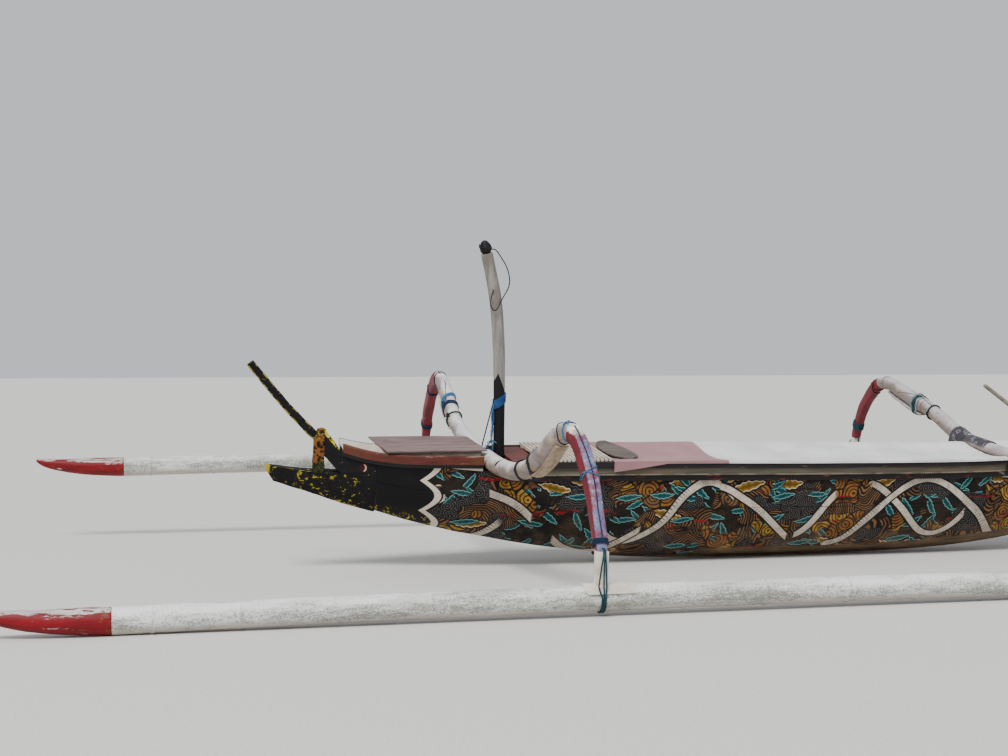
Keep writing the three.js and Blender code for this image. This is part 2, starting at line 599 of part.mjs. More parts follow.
// A dark cloth thrown over the root of the aft boom's starboard arm: it lies on the beam inboard and
// hangs down both its sides outboard of the rail. Rows: path row, half angle, hang, thickness, clearance
const SLEEVE = [
  [0.12, 60, 1, 4, 1.1], [0.97, 60, 1, 5, 5], [1, 90, 1, 5, 5.5], [1.06, 90, 66, 6, 3.5],
  [1.5, 90, 96, 8, 1.8], [1.8, 90, 112, 12, 1.8],
];
const [, aftBoom] = BOOMS;
const sleevePath = armPath(aftBoom, 'starboard');
function sleeveRing([row, half, hang, thick, clear]) {
  const outline = (radius) => {
    const arc = range(-half, half, 6).map(THREE.MathUtils.degToRad)
      .map((a) => [radius * Math.sin(a), radius * Math.cos(a)]);
    const [first, last] = [arc[0], arc.at(-1)];
    return [[first[0], first[1] - hang], ...arc, [last[0], last[1] - hang]];
  };
  const radius = BOOM_RADIUS + clear;
  const pairs = [...outline(radius), ...outline(radius + thick).reverse()];
  const ringAt = (i) => {
    const [d, z] = sleevePath[i];
    const [td, tz] = tangentAt(sleevePath, i);
    return pairs.map(([across, up]) => placeOn(aftBoom, 'starboard')(d - up * tz, z + up * td, across));
  };
  const start = Math.floor(row);
  const next = ringAt(start + 1);
  // The beam is straight up to row 1
  const from = start ? ringAt(start) : next.map((p) => p.clone().setY(0));
  return from.map((p, n) => p.lerp(next[n], row - start));
}
add('cloth_dark', loft(SLEEVE.map(sleeveRing), true), 'dark');

// Floats: bamboo between two pointed plugs whose tops run on straight.
// Rows: share of the tip's length, share of the radius
const TIP = [
  [0, 1], [0.16, 0.985], [0.36, 0.93], [0.56, 0.83], [0.73, 0.69], [0.87, 0.52], [0.95, 0.36], [1, 0.16],
];
const FLOAT_CORNERS = 24;
const circle = (x, y, z, radius) => range(0, 2 * Math.PI, FLOAT_CORNERS).slice(0, FLOAT_CORNERS)
  .map((angle) => point(x, y + radius * Math.sin(angle), z + radius * Math.cos(angle)));
for (const [name, side] of Object.entries(SIDES)) {
  const y = side * FLOAT_OUT;
  const rings = range(FLOAT_FORE, FLOAT_AFT, 12).map((x) => circle(x, y, floatLine(x), FLOAT_RADIUS));
  add(`float_${name}`, loft(rings), 'bamboo');
  for (const [end, root, way] of [['fore', FLOAT_FORE, -1], ['aft', FLOAT_AFT, 1]]) {
    add(`float_tip_${end}_${name}`, loft(TIP.map(([share, size]) => {
      const radius = FLOAT_RADIUS * size;
      const x = root + way * (GAP + share * TIP_LENGTH);
      return circle(x, y, floatLine(root) + FLOAT_RADIUS - radius, radius);
    })), 'crimson');
  }
}

// Steering oar in a fork that turns on the end of a short beam across the stern
const oarBeamFoot = edgeAt(OAR_BEAM.x + OAR_BEAM.half) + GAP;
add('oar_beam', box(
  OAR_BEAM.x - OAR_BEAM.half, OAR_BEAM.x + OAR_BEAM.half, OAR_BEAM.port, OAR_BEAM.starboard,
  oarBeamFoot, oarBeamFoot + OAR_BEAM.deep,
), 'wood');
const OAR_Y = 330;
const OAR = {
  height: 716, radius: 15, slope: 34.5, fore: 535, aft: 620, grip: 14, blade: 400, bladeHalf: 62, thick: 8,
};
const FORK = { foot: oarBeamFoot + OAR_BEAM.deep + GAP, half: 20, slot: 17, outer: 30, floor: 684, top: 732 };
const forkShape = outlined([
  [-FORK.outer, FORK.foot], [FORK.outer, FORK.foot], [FORK.outer, FORK.top], [FORK.slot, FORK.top],
  [FORK.slot, FORK.floor], [-FORK.slot, FORK.floor], [-FORK.slot, FORK.top], [-FORK.outer, FORK.top],
]);
const fork = new THREE.ExtrudeGeometry(forkShape, { depth: 2 * FORK.half, bevelEnabled: false });
fork.rotateX(Math.PI / 2).rotateZ(Math.PI / 2).translate(OAR_BEAM.x - FORK.half, OAR_Y, 0);
add('oar_fork', fork, 'wood');
const oarSlope = Math.tan(THREE.MathUtils.degToRad(OAR.slope));
const oarReach = Math.cos(THREE.MathUtils.degToRad(OAR.slope));
// Rows: distance aft of the fork along the oar, half depth, half thickness
const OAR_ROWS = [
  [-OAR.fore, OAR.grip, OAR.grip], [0, OAR.radius, OAR.radius], [OAR.aft - 60, OAR.radius, OAR.radius],
  [OAR.aft + 60, OAR.bladeHalf * 0.7, OAR.thick + 3], [OAR.aft + 160, OAR.bladeHalf, OAR.thick],
  [OAR.aft + OAR.blade, OAR.bladeHalf * 0.92, OAR.thick - 2],
];
const oarPath = OAR_ROWS.map(([share, ...section]) => {
  const d = share * oarReach;
  return [OAR_BEAM.x + d, OAR.height - d * oarSlope, ...section];
});
add('steering_oar', loft(sweep(oarPath, (d, z, across) => point(d, OAR_Y + across, z))), 'oar');

// The boat heels until the keel plank's port edge and the port float are both on the ground
const reach = FLOAT_OUT - KEEL_HALF;
const heel = Math.acos(FLOAT_RADIUS / Math.hypot(FLOAT_HEIGHT, reach)) - Math.atan2(reach, FLOAT_HEIGHT);
boat.rotation.x = heel;
const craft = new THREE.Group();
craft.add(boat);
craft.updateMatrixWorld(true);
const bounds = new THREE.Box3();
boat.traverse((piece) => piece.isMesh && bounds.union(new THREE.Box3().setFromObject(piece, true)));
const middle = bounds.getCenter(new THREE.Vector3());
boat.position.set(-middle.x, -middle.y, -bounds.min.z);
craft.updateMatrixWorld(true);

export default craft;
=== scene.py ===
"""Dresses a beached double-outrigger canoe: carved, painted wood, bamboo floats, lashings and cloths."""
import json
import math

import bpy
from mathutils import Matrix, Vector, geometry, noise
from mathutils.bvhtree import BVHTree


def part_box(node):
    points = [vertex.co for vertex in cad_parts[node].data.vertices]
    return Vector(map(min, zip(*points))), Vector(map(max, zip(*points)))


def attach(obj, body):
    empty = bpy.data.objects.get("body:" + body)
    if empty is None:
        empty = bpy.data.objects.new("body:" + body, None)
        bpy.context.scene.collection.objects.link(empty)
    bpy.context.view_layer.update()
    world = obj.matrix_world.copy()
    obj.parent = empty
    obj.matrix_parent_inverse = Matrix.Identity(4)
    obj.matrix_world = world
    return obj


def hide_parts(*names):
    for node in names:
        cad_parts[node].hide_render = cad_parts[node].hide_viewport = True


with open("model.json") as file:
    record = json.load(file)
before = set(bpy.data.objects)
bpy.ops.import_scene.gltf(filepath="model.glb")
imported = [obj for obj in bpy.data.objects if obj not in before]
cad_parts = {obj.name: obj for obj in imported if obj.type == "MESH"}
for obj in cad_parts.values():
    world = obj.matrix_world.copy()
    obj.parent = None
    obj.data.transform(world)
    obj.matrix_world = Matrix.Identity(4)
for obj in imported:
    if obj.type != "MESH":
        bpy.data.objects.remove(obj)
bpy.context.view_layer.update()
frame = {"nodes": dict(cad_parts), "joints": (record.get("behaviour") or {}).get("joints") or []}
NODES = frame["nodes"]

bl_info = {
    "name": "Outrigger canoe dressing",
    "version": (1, 0, 0),
    "blender": (4, 5, 0),
    "location": "View3D > Sidebar > Canoe",
    "description": "Carved, painted, lashed and woven detail for an outrigger canoe",
    "category": "Object",
}

# The boat's own axes: x runs aft along the keel, y to starboard, z up from the keel line.
# The steering hinge stands at HINGE_SEAT on these axes and leans with the heel of the hull.
HINGE_SEAT = Vector((3.760, 0.330, 0.690))
STEER = next(j for j in frame["joints"] if j["name"] == "oar_steer")
HEEL = math.atan2(-STEER["axis"][1], STEER["axis"][2])
TURN = Matrix.Rotation(HEEL, 4, "X")
BOAT = Matrix.Translation(Vector(STEER["pos_m"]) - TURN @ HINGE_SEAT) @ TURN
TO_BOAT = BOAT.inverted()

# Each boom: the distance out from the middle of the hull, the height, and half the thickness and width.
FORWARD_BOOM = [
    (0.000, 0.6582, 0.053, 0.053), (0.300, 0.6582, 0.053, 0.053), (0.450, 0.662, 0.053, 0.052),
    (0.620, 0.678, 0.053, 0.051), (0.760, 0.704, 0.053, 0.050), (0.880, 0.745, 0.054, 0.048),
    (1.000, 0.800, 0.058, 0.046), (1.090, 0.857, 0.060, 0.044), (1.170, 0.912, 0.060, 0.043),
    (1.260, 0.960, 0.058, 0.042), (1.340, 0.985, 0.054, 0.040), (1.420, 0.992, 0.050, 0.038),
    (1.505, 0.965, 0.048, 0.036), (1.610, 0.880, 0.048, 0.036), (1.710, 0.760, 0.047, 0.036),
    (1.795, 0.642, 0.044, 0.035), (1.864, 0.530, 0.036, 0.030),
]
AFT_BOOM = [
    (0.000, 0.629, 0.053, 0.053), (0.300, 0.633, 0.053, 0.053), (0.470, 0.674, 0.053, 0.052),
    (0.620, 0.726, 0.053, 0.051), (0.745, 0.766, 0.052, 0.050), (0.880, 0.794, 0.052, 0.048),
    (1.000, 0.813, 0.052, 0.046), (1.130, 0.838, 0.051, 0.045), (1.250, 0.863, 0.049, 0.044),
    (1.360, 0.885, 0.047, 0.042), (1.450, 0.892, 0.045, 0.040), (1.530, 0.872, 0.043, 0.036),
    (1.610, 0.822, 0.043, 0.033), (1.700, 0.738, 0.043, 0.032), (1.780, 0.640, 0.042, 0.032),
    (1.840, 0.530, 0.040, 0.031), (1.872, 0.410, 0.034, 0.030),
]
# Each side of a boom: its rows, its place along the hull, its sweep aft, its rise and its side, -1 for port.
BOOMS = {
    "forward_port": (FORWARD_BOOM, -0.134, 0.180, 1.12, -1),
    "forward_starboard": (FORWARD_BOOM, -0.134, -0.025, 0.84, 1),
    "aft_port": (AFT_BOOM, 3.220, 0.080, 1.0, -1),
    "aft_starboard": (AFT_BOOM, 3.220, -0.050, 1.0, 1),
}
SWEEP_START, SWEEP_RUN = 0.300, 1.400

# The floats: distance out and radius, then the height of the axis at its ends, its bow, and the bow's middle
# and half length.
FLOAT_OUT, FLOAT_RADIUS = 1.875, 0.065
FLOAT_LOW, FLOAT_BOW, FLOAT_MIDDLE, FLOAT_HALF = 0.275, 0.022, 0.725, 2.975

# The loose cord at the head of the mast, on the boat's axes, with its radius.
CORD_ROUTE = [
    (-0.1188, -0.007, 1.887), (-0.106, -0.009, 1.887), (-0.094, -0.012, 1.879), (-0.078, -0.016, 1.859),
    (-0.060, -0.018, 1.832), (-0.041, -0.020, 1.802), (-0.025, -0.022, 1.766), (-0.015, -0.024, 1.726),
    (-0.014, -0.027, 1.688), (-0.024, -0.032, 1.656), (-0.040, -0.039, 1.630), (-0.056, -0.046, 1.606),
    (-0.070, -0.050, 1.580), (-0.082, -0.051, 1.553), (-0.096, -0.050, 1.534), (-0.112, -0.048, 1.533),
    (-0.124, -0.046, 1.549), (-0.128, -0.045, 1.574), (-0.126, -0.044, 1.600), (-0.121, -0.042, 1.624),
    (-0.1115, -0.038, 1.652),
]
CORD_RADIUS = 0.0035

# How thick the shingles on the floats are, and the angle from their middle to their edge.
SHINGLE, SHINGLE_ARC = 0.009, 1.05
# Tool marks of the planed pieces, in metres.
FINE_ADZE = 0.0012
# How far apart the strands of a rope are, slantwise.
STRAND_LAY = 0.006
# The places along the boat where the log's solids meet.
LOG_CUTS = (0.550, 2.500)
# Aft of this place the hull has no hollow.
SOLID_TAIL = 3.82
# Points closer than this are merged in a copied solid, and closer than the second where two solids meet.
WELD, SEAM_WELD = 0.0002, 0.0008


# Places and small tools

def boat(x, y, z):
    """A place on the boat's axes, in the scene's metres."""
    return BOAT @ Vector((x, y, z))


def heading(x, y, z):
    """A direction on the boat's axes, in the scene."""
    return BOAT.to_3x3() @ Vector((x, y, z))


def aboard(point):
    """A place of the scene, on the boat's axes."""
    return TO_BOAT @ Vector(point)


def along(rows, x):
    """The rows' other values at x, by straight lines between the rows."""
    for a, b in zip(rows, rows[1:]):
        if x <= b[0]:
            t = min(max((x - a[0]) / (b[0] - a[0]), 0), 1)
            return [p + (q - p) * t for p, q in zip(a[1:], b[1:])]
    return list(rows[-1][1:])


def boom_at(side, d):
    """The middle of a boom at distance d out, its direction outwards, and half its thickness and width."""
    rows, x, sweep, rise, hand = BOOMS[side]
    base = rows[0][1]

    def middle(out):
        z = along(rows, out)[0]
        z = base + (z - base) * rise if z > base else z
        return boat(x + sweep * min(max((out - SWEEP_START) / SWEEP_RUN, 0), 1), hand * out, z)

    half_thick, half_wide = along(rows, d)[1:]
    run = (middle(d + 0.02) - middle(d - 0.02)).normalized()
    return middle(d), run, half_thick, half_wide


def rail_line():
    """The top of the port rails along the boat, read from their solids."""
    tops = {}
    for node in ("foredeck_rail_port", "rail_port"):
        for v in NODES[node].data.vertices:
            p = aboard(v.co)
            key = round(p.x, 2)
            tops[key] = max(tops.get(key, -9), p.z)
    return sorted(tops.items())


SHEER = rail_line()


def rail_top(x):
    """The height of the rail's top at x."""
    return along(SHEER, x)[0]


def float_axis(x):
    """The height of a float's middle at x."""
    return FLOAT_LOW + FLOAT_BOW * (1 - ((x - FLOAT_MIDDLE) / FLOAT_HALF) ** 2)


def only(obj):
    """Selects one object alone."""
    bpy.ops.object.select_all(action="DESELECT")
    obj.select_set(True)
    bpy.context.view_layer.objects.active = obj
    return obj


def open_edit(obj, action="SELECT"):
    """Opens one piece in edit mode, with all of it selected or none."""
    only(obj)
    bpy.ops.object.mode_set(mode="EDIT")
    bpy.ops.mesh.select_all(action=action)


def close_edit():
    bpy.ops.object.mode_set(mode="OBJECT")


def cut_across(obj, places):
    """Cuts a ring round the piece at each of these places along the boat."""
    open_edit(obj)
    for x in places:
        bpy.ops.mesh.select_all(action="SELECT")
        bpy.ops.mesh.bisect(plane_co=boat(x, 0, 0), plane_no=heading(1, 0, 0))
    close_edit()


def finish_modifiers(obj):
    """Applies the piece's modifiers."""
    only(obj)
    for modifier in list(obj.modifiers):
        bpy.ops.object.modifier_apply(modifier=modifier.name)


def smooth(obj, angle=40):
    """Shades the piece smooth, but for edges sharper than this many degrees."""
    only(obj)
    bpy.ops.object.shade_smooth_by_angle(angle=math.radians(angle))
    return obj


def from_solids(name, *nodes):
    """One merged copy of the named solids, to be carved and painted."""
    bpy.ops.object.select_all(action="DESELECT")
    copies = []
    for node in nodes:
        copy = bpy.data.objects.new(name, NODES[node].data.copy())
        bpy.context.scene.collection.objects.link(copy)
        copy.data.materials.clear()
        copies.append(copy)
    obj = joined(name, copies)
    bpy.ops.mesh.customdata_custom_splitnormals_clear()
    open_edit(obj)
    bpy.ops.mesh.mark_sharp(clear=True)
    bpy.ops.mesh.remove_doubles(threshold=WELD)
    bpy.ops.mesh.tris_convert_to_quads(face_threshold=math.radians(40), shape_threshold=math.radians(60))
    close_edit()
    return obj


def joined(name, parts):
    """Several meshes made one piece."""
    bpy.ops.object.select_all(action="DESELECT")
    for part in parts:
        part.select_set(True)
    bpy.context.view_layer.objects.active = parts[0]
    if len(parts) > 1:
        bpy.ops.object.join()
    parts[0].name = name
    return parts[0]


def drop_faces(obj, test):
    """Deletes the faces whose middle and direction on the boat's axes pass the test."""
    turn = TO_BOAT.to_3x3()
    open_edit(obj, "DESELECT")
    bpy.ops.mesh.select_mode(type="FACE")
    close_edit()
    for face in obj.data.polygons:
        face.select = bool(test(aboard(face.center), turn @ face.normal))
    bpy.ops.object.mode_set(mode="EDIT")
    bpy.ops.mesh.delete(type="FACE")
    close_edit()


def soften(obj, edge, levels):
    """Rounds the sharp edges and smooths the facets."""
    if edge:
        bevel = obj.modifiers.new("edges", "BEVEL")
        bevel.width, bevel.segments = edge, 2
        bevel.limit_method, bevel.angle_limit = "ANGLE", math.radians(38)
        bevel.use_clamp_overlap = True
    if levels:
        round_off = obj.modifiers.new("facets", "SUBSURF")
        round_off.levels = round_off.render_levels = levels
    finish_modifiers(obj)
    return smooth(obj)


def hew(obj, depth, size, stretch=(1, 1, 1), seed=0.0):
    """Moves the skin in and out by a few millimetres, as an adze leaves it."""
    normals = [v.normal.copy() for v in obj.data.vertices]
    for v, n in zip(obj.data.vertices, normals):
        p = aboard(v.co)
        q = Vector((p.x * stretch[0], p.y * stretch[1], p.z * stretch[2])) / size
        v.co += n * depth * noise.noise(q + Vector((seed, seed * 1.7, seed * 0.6)))
    return obj


def carve(name, node, edge, levels, depth, size, stretch=(1, 1, 1), seed=0.0):
    """A copy of a solid with rounded edges and a hewn skin."""
    return hew(soften(from_solids(name, node), edge, levels), depth, size, stretch, seed)


def sheer_uv(obj):
    """A map whose first value runs along the boat and whose second is the drop below the rail's top."""
    layer = obj.data.uv_layers.get("sheer") or obj.data.uv_layers.new(name="sheer")
    obj.data.uv_layers.active = layer
    spots = [aboard(v.co) for v in obj.data.vertices]
    places = [(p.x, rail_top(p.x) - p.z) for p in spots]
    for loop in obj.data.loops:
        layer.data[loop.index].uv = places[loop.vertex_index]


def dress(obj, finish, body="hull", nodes=()):
    """Gives a piece its finish, its body and the solids that it stands for."""
    if finish is not None:
        obj.data.materials.clear()
        obj.data.materials.append(finish)
    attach(obj, body)
    if nodes:
        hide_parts(*nodes)


def rope(name, points, radius, sides=3):
    """A rope as a round tube along a smooth line through the points."""
    curve = bpy.data.curves.new(name, "CURVE")
    curve.dimensions = "3D"
    curve.bevel_depth, curve.bevel_resolution = radius, sides
    curve.use_fill_caps = True
    line = curve.splines.new("POLY")
    line.points.add(len(points) - 1)
    for spot, p in zip(line.points, points):
        spot.co = (*p, 1)
    obj = bpy.data.objects.new(name, curve)
    bpy.context.scene.collection.objects.link(obj)
    only(obj)
    bpy.ops.object.convert(target="MESH")
    return smooth(bpy.context.view_layer.objects.active, 60)


def through(points, steps):
    """A smooth line through the points, in equal steps of each span."""
    ends = [points[0] * 2 - points[1], *points, points[-1] * 2 - points[-2]]
    line = []
    for i in range(1, len(ends) - 2):
        a, b, c, d = ends[i - 1:i + 3]
        for k in range(steps):
            t = k / steps
            line.append(0.5 * ((2 * b) + (c - a) * t + (2 * a - 5 * b + 4 * c - d) * t * t
                               + (3 * b - 3 * c + d - a) * t ** 3))
    return line + [points[-1].copy()]


def surface_of(*names):
    """The surfaces of finished pieces, to lay ropes on."""
    corners, faces = [], []
    for name in names:
        mesh = bpy.data.objects[name].data
        first = len(corners)
        corners += [v.co.copy() for v in mesh.vertices]
        faces += [[first + i for i in face.vertices] for face in mesh.polygons]
    return BVHTree.FromPolygons(corners, faces)


def rim(spots):
    """How far a taut rope round these flat spots stands from the middle, by angle."""
    corners = [spots[i] for i in geometry.convex_hull_2d(spots)]
    sides = []
    for a, b in zip(corners, corners[1:] + corners[:1]):
        across = Vector((b.y - a.y, a.x - b.x)).normalized()
        sides.append((across, across.dot(a)) if across.dot(a) > 0 else (-across, -across.dot(a)))

    def far(angle):
        out = Vector((math.cos(angle), math.sin(angle)))
        return min(reach / across.dot(out) for across, reach in sides if across.dot(out) > 0.01)
    return far


def around(axes, angle):
    """The direction at this angle from the first axis towards the second."""
    return axes[0] * math.cos(angle) + axes[1] * math.sin(angle)


def touch(tree, middle, out, reach=0.2):
    """How far a surface stands from the middle in one direction."""
    hit = tree.ray_cast(middle + out * reach, -out, reach)[0]
    return (hit - middle).dot(out) if hit else 0.0


def flat_ring(count, far):
    """Flat spots round a middle, as far out as far says at each angle."""
    spots = []
    for k in range(count):
        a = math.tau * k / count
        r = far(a)
        spots.append(Vector((r * math.cos(a), r * math.sin(a))))
    return spots


def wind(tree, middle, run, axes, count, radius, lean=(0, 0)):
    """A rope wound tight round what it holds, turn beside turn; lean tilts the turns."""
    steps = 24
    far = rim(flat_ring(steps, lambda a: touch(tree, middle, around(axes, a))))
    points = []
    for i in range(int(count * steps) + 1):
        a = math.tau * i / steps
        shift = (i / steps - count / 2) * 2.05 * radius + lean[0] * math.cos(a) + lean[1] * math.sin(a)
        sway = noise.noise(Vector((a * 1.3, count, middle.x * 3))) * radius * 0.5
        points.append(middle + run * (shift + sway) + around(axes, a) * (far(a) + radius))
    return rope("turn", points, radius, 2)


def on_boom(side, d):
    """The middle of a boom at distance d, its direction out, and its fore and upper or outer sides."""
    middle, run = boom_at(side, d)[:2]
    fore = heading(-1, 0, 0)
    fore = (fore - run * run.dot(fore)).normalized()
    return middle, run, (fore, fore.cross(run) * -BOOMS[side][4])


def laid(tree, side, stops, radius, steps):
    """A rope laid along a boom by distance and degrees from fore side to top; one step is straight."""
    points = []
    for (d0, a0), (d1, a1) in zip(stops, stops[1:]):
        for k in range(steps + 1):
            t = k / steps
            middle, _, axes = on_boom(side, d0 + (d1 - d0) * t)
            out = around(axes, math.radians(a0 + (a1 - a0) * t))
            points.append(middle + out * (touch(tree, middle, out) + radius))
    return rope("line", points, radius, 2)


def knot(middle, axes, size, radius):
    """A lump of crossed rope with two loose ends."""
    third = axes[0].cross(axes[1])
    points = []
    for i in range(49):
        t = math.tau * i / 48
        spot = axes[0] * (math.sin(t) + 2 * math.sin(2 * t)) + axes[1] * (math.cos(t) - 2 * math.cos(2 * t))
        points.append(middle + (spot - third * math.sin(3 * t)) * size / 3)
    made = [rope("knot", points, radius, 2)]
    droop = Vector((0, 0, -size * 0.8))
    for way in (axes[0] + axes[1] * 0.4, axes[1] * 0.5 - axes[0]):
        ends = [middle, middle + way * size * 1.6, middle + way * size * 2.6 + droop]
        made.append(rope("end", through(ends, 4), radius * 0.8, 2))
    return made


def toned(colour, share):
    """A darker or a lighter tone of a colour."""
    return tuple(min(c * share, 1) for c in colour)


# Finishes: small words for the shader's nodes

class Finish:
    """A procedural finish: each call adds one node and gives back its socket."""

    def __init__(self, name, roughness=0.6, **sockets):
        self.material = bpy.data.materials.new(name)
        self.material.use_nodes = True
        self.tree = self.material.node_tree
        self.shader = self.tree.nodes["Principled BSDF"]
        self.shader.inputs["Roughness"].default_value = roughness
        self.shader.inputs["Specular IOR Level"].default_value = 0.25
        for socket, value in sockets.items():
            self.shader.inputs[socket.replace("_", " ")].default_value = value

    def feed(self, socket, value):
        if isinstance(value, bpy.types.NodeSocket):
            self.tree.links.new(value, socket)
        elif value is not None:
            if socket.type == "RGBA" and len(value) == 3:
                value = (*value, 1)
            socket.default_value = value

    def node(self, kind, inputs=(), out=0, **settings):
        made = self.tree.nodes.new(kind)
        for key, value in settings.items():
            setattr(made, key, value)
        for key, value in dict(inputs).items():
            self.feed(made.inputs[key], value)
        return made.outputs[out]

    def math(self, operation, a, b=0.0):
        return self.node("ShaderNodeMath", {0: a, 1: b}, operation=operation)

    def chain(self, operation, values):
        """One operation over several values, from left to right."""
        total = values[0]
        for value in values[1:]:
            total = self.math(operation, total, value)
        return total

    def plus(self, *values):
        return self.chain("ADD", values)

    def times(self, *values):
        return self.chain("MULTIPLY", values)

    def minus(self, a, b):
        return self.math("SUBTRACT", a, b)

    def over(self, a, b):
        return self.math("DIVIDE", a, b)

    def most(self, a, b):
        return self.math("MAXIMUM", a, b)

    def size(self, a):
        return self.math("ABSOLUTE", a)

    def sine(self, a):
        return self.math("SINE", a)

    def scaled(self, vector, x, y, z):
        return self.node("ShaderNodeVectorMath", {0: vector, 1: (x, y, z)}, operation="MULTIPLY")

    def added(self, vector, other):
        return self.node("ShaderNodeVectorMath", {0: vector, 1: other}, operation="ADD")

    def mix(self, share, a, b, blend="MIX"):
        """Colour a where the share is nought, b where it is one."""
        return self.node("ShaderNodeMix", {0: share, 6: a, 7: b}, 2, data_type="RGBA", blend_type=blend)

    def step(self, value, low, high, to_low=0.0, to_high=1.0):
        """A soft step of the value from to_low to to_high between low and high."""
        return self.node("ShaderNodeMapRange", {0: value, 1: low, 2: high, 3: to_low, 4: to_high},
                         interpolation_type="SMOOTHSTEP")

    def fall(self, value, low, high):
        """One below low, nought above high."""
        return self.step(value, low, high, 1.0, 0.0)

    def band(self, value, low, high, soft=0.002):
        """One between low and high, nought elsewhere."""
        rise = self.step(value, low - soft, low + soft)
        return self.times(rise, self.fall(value, high - soft, high + soft))

    def place(self):
        return self.node("ShaderNodeTexCoord", out=3)

    def boat(self):
        """Coordinates on the boat's own axes, so that a pattern keeps level with the hull."""
        shift = tuple(TO_BOAT.translation)
        return self.node("ShaderNodeMapping", {0: self.place(), 1: shift, 2: (-HEEL, 0, 0)})

    def uv(self, layer):
        return self.node("ShaderNodeUVMap", uv_map=layer)

    def parts(self, vector):
        """The three numbers of a vector."""
        made = self.tree.nodes.new("ShaderNodeSeparateXYZ")
        self.tree.links.new(vector, made.inputs[0])
        return made.outputs

    def facing(self):
        """The direction of the surface, number by number."""
        return self.parts(self.node("ShaderNodeNewGeometry", out=1))

    def below_rail(self):
        """The drop below the top of the rail."""
        return self.parts(self.uv("sheer"))[1]

    def merge(self, x, y, z=0.0):
        return self.node("ShaderNodeCombineXYZ", {0: x, 1: y, 2: z})

    def noise(self, vector, scale, detail=4.0, rough=0.55, bend=0.0):
        return self.node("ShaderNodeTexNoise", {"Vector": vector, "Scale": scale, "Detail": detail,
                                                "Roughness": rough, "Distortion": bend})

    def noise_vector(self, vector, scale, amount):
        """The vector, moved about by noise."""
        colour = self.node("ShaderNodeTexNoise", {"Vector": vector, "Scale": scale, "Detail": 2.0}, 1)
        middle = self.added(colour, (-0.5, -0.5, -0.5))
        return self.added(vector, self.scaled(middle, amount, amount, amount))

    def fibres(self, vector, grain, detail=6, rough=0.6, bend=0.0):
        """Noise drawn out along the grain."""
        return self.noise(self.scaled(vector, *grain), 1.0, detail, rough, bend)

    def done(self, colour, height, depth, strength, rough=None):
        """The finished material, with its colour, its relief and its roughness."""
        self.feed(self.shader.inputs["Base Color"], colour)
        if rough is not None:
            self.feed(self.shader.inputs["Roughness"], rough)
        bump = self.node("ShaderNodeBump", {"Strength": strength, "Distance": depth, "Height": height})
        self.feed(self.shader.inputs["Normal"], bump)
        return self.material


def old_paint(name, paint, under, worn, grain=(3, 40, 40)):
    """Oil paint on wood, chipped and rubbed to what is under it, with the grain showing through."""
    f = Finish(name, 0.55)
    p = f.boat()
    fibres = f.fibres(p, grain, 6, 0.6, 0.4)
    blotches = f.noise(p, 9.0, 5, 0.62)
    chips = f.noise(p, 34.0, 6, 0.7)
    tone = f.mix(f.step(blotches, 0.3, 0.7), toned(paint, 0.78), toned(paint, 1.12))
    wood = f.mix(f.step(fibres, 0.35, 0.65), toned(under, 0.6), under)
    bare = f.step(f.plus(f.times(blotches, 0.5), f.times(chips, 0.5)), 1.0 - worn, 1.03 - worn)
    colour = f.mix(bare, tone, wood)
    grime = f.times(f.step(f.fibres(p, (2, 5, 5), 5, 0.7), 0.5, 0.8), 0.6)
    colour = f.mix(grime, colour, (0.10, 0.085, 0.07))
    split = f.step(f.fibres(p, (grain[0] * 0.5, grain[1] * 1.2, grain[2] * 1.2), 3, 0.5), 0.70, 0.74)
    colour = f.mix(f.times(split, 0.35), colour, (0.02, 0.017, 0.014))
    height = f.plus(f.times(fibres, 0.6), f.times(bare, -0.5))
    height = f.minus(height, f.times(split, 0.8))
    return f.done(colour, height, 0.0016, 0.7, f.step(bare, 0, 1, 0.55, 0.85))


def bare_wood(name, light, deep, grain=(3, 40, 40), stained=0.7):
    """Weathered wood: silvery fibres, dark checks and stains."""
    f = Finish(name, 0.8)
    p = f.boat()
    fibres = f.fibres(p, grain, 7, 0.62, 0.6)
    stain = f.noise(p, 6.0, 5, 0.6)
    colour = f.mix(f.step(fibres, 0.32, 0.68), deep, light)
    colour = f.mix(f.step(stain, 0.45, 0.75, 0, stained), colour, (0.45, 0.40, 0.36), "MULTIPLY")
    split = f.step(f.fibres(p, (grain[0] * 0.6, grain[1] * 1.4, grain[2] * 1.4), 3, 0.5), 0.68, 0.72)
    colour = f.mix(f.times(split, 0.7), colour, (0.015, 0.012, 0.01))
    return f.done(colour, f.minus(fibres, split), 0.002, 0.7)


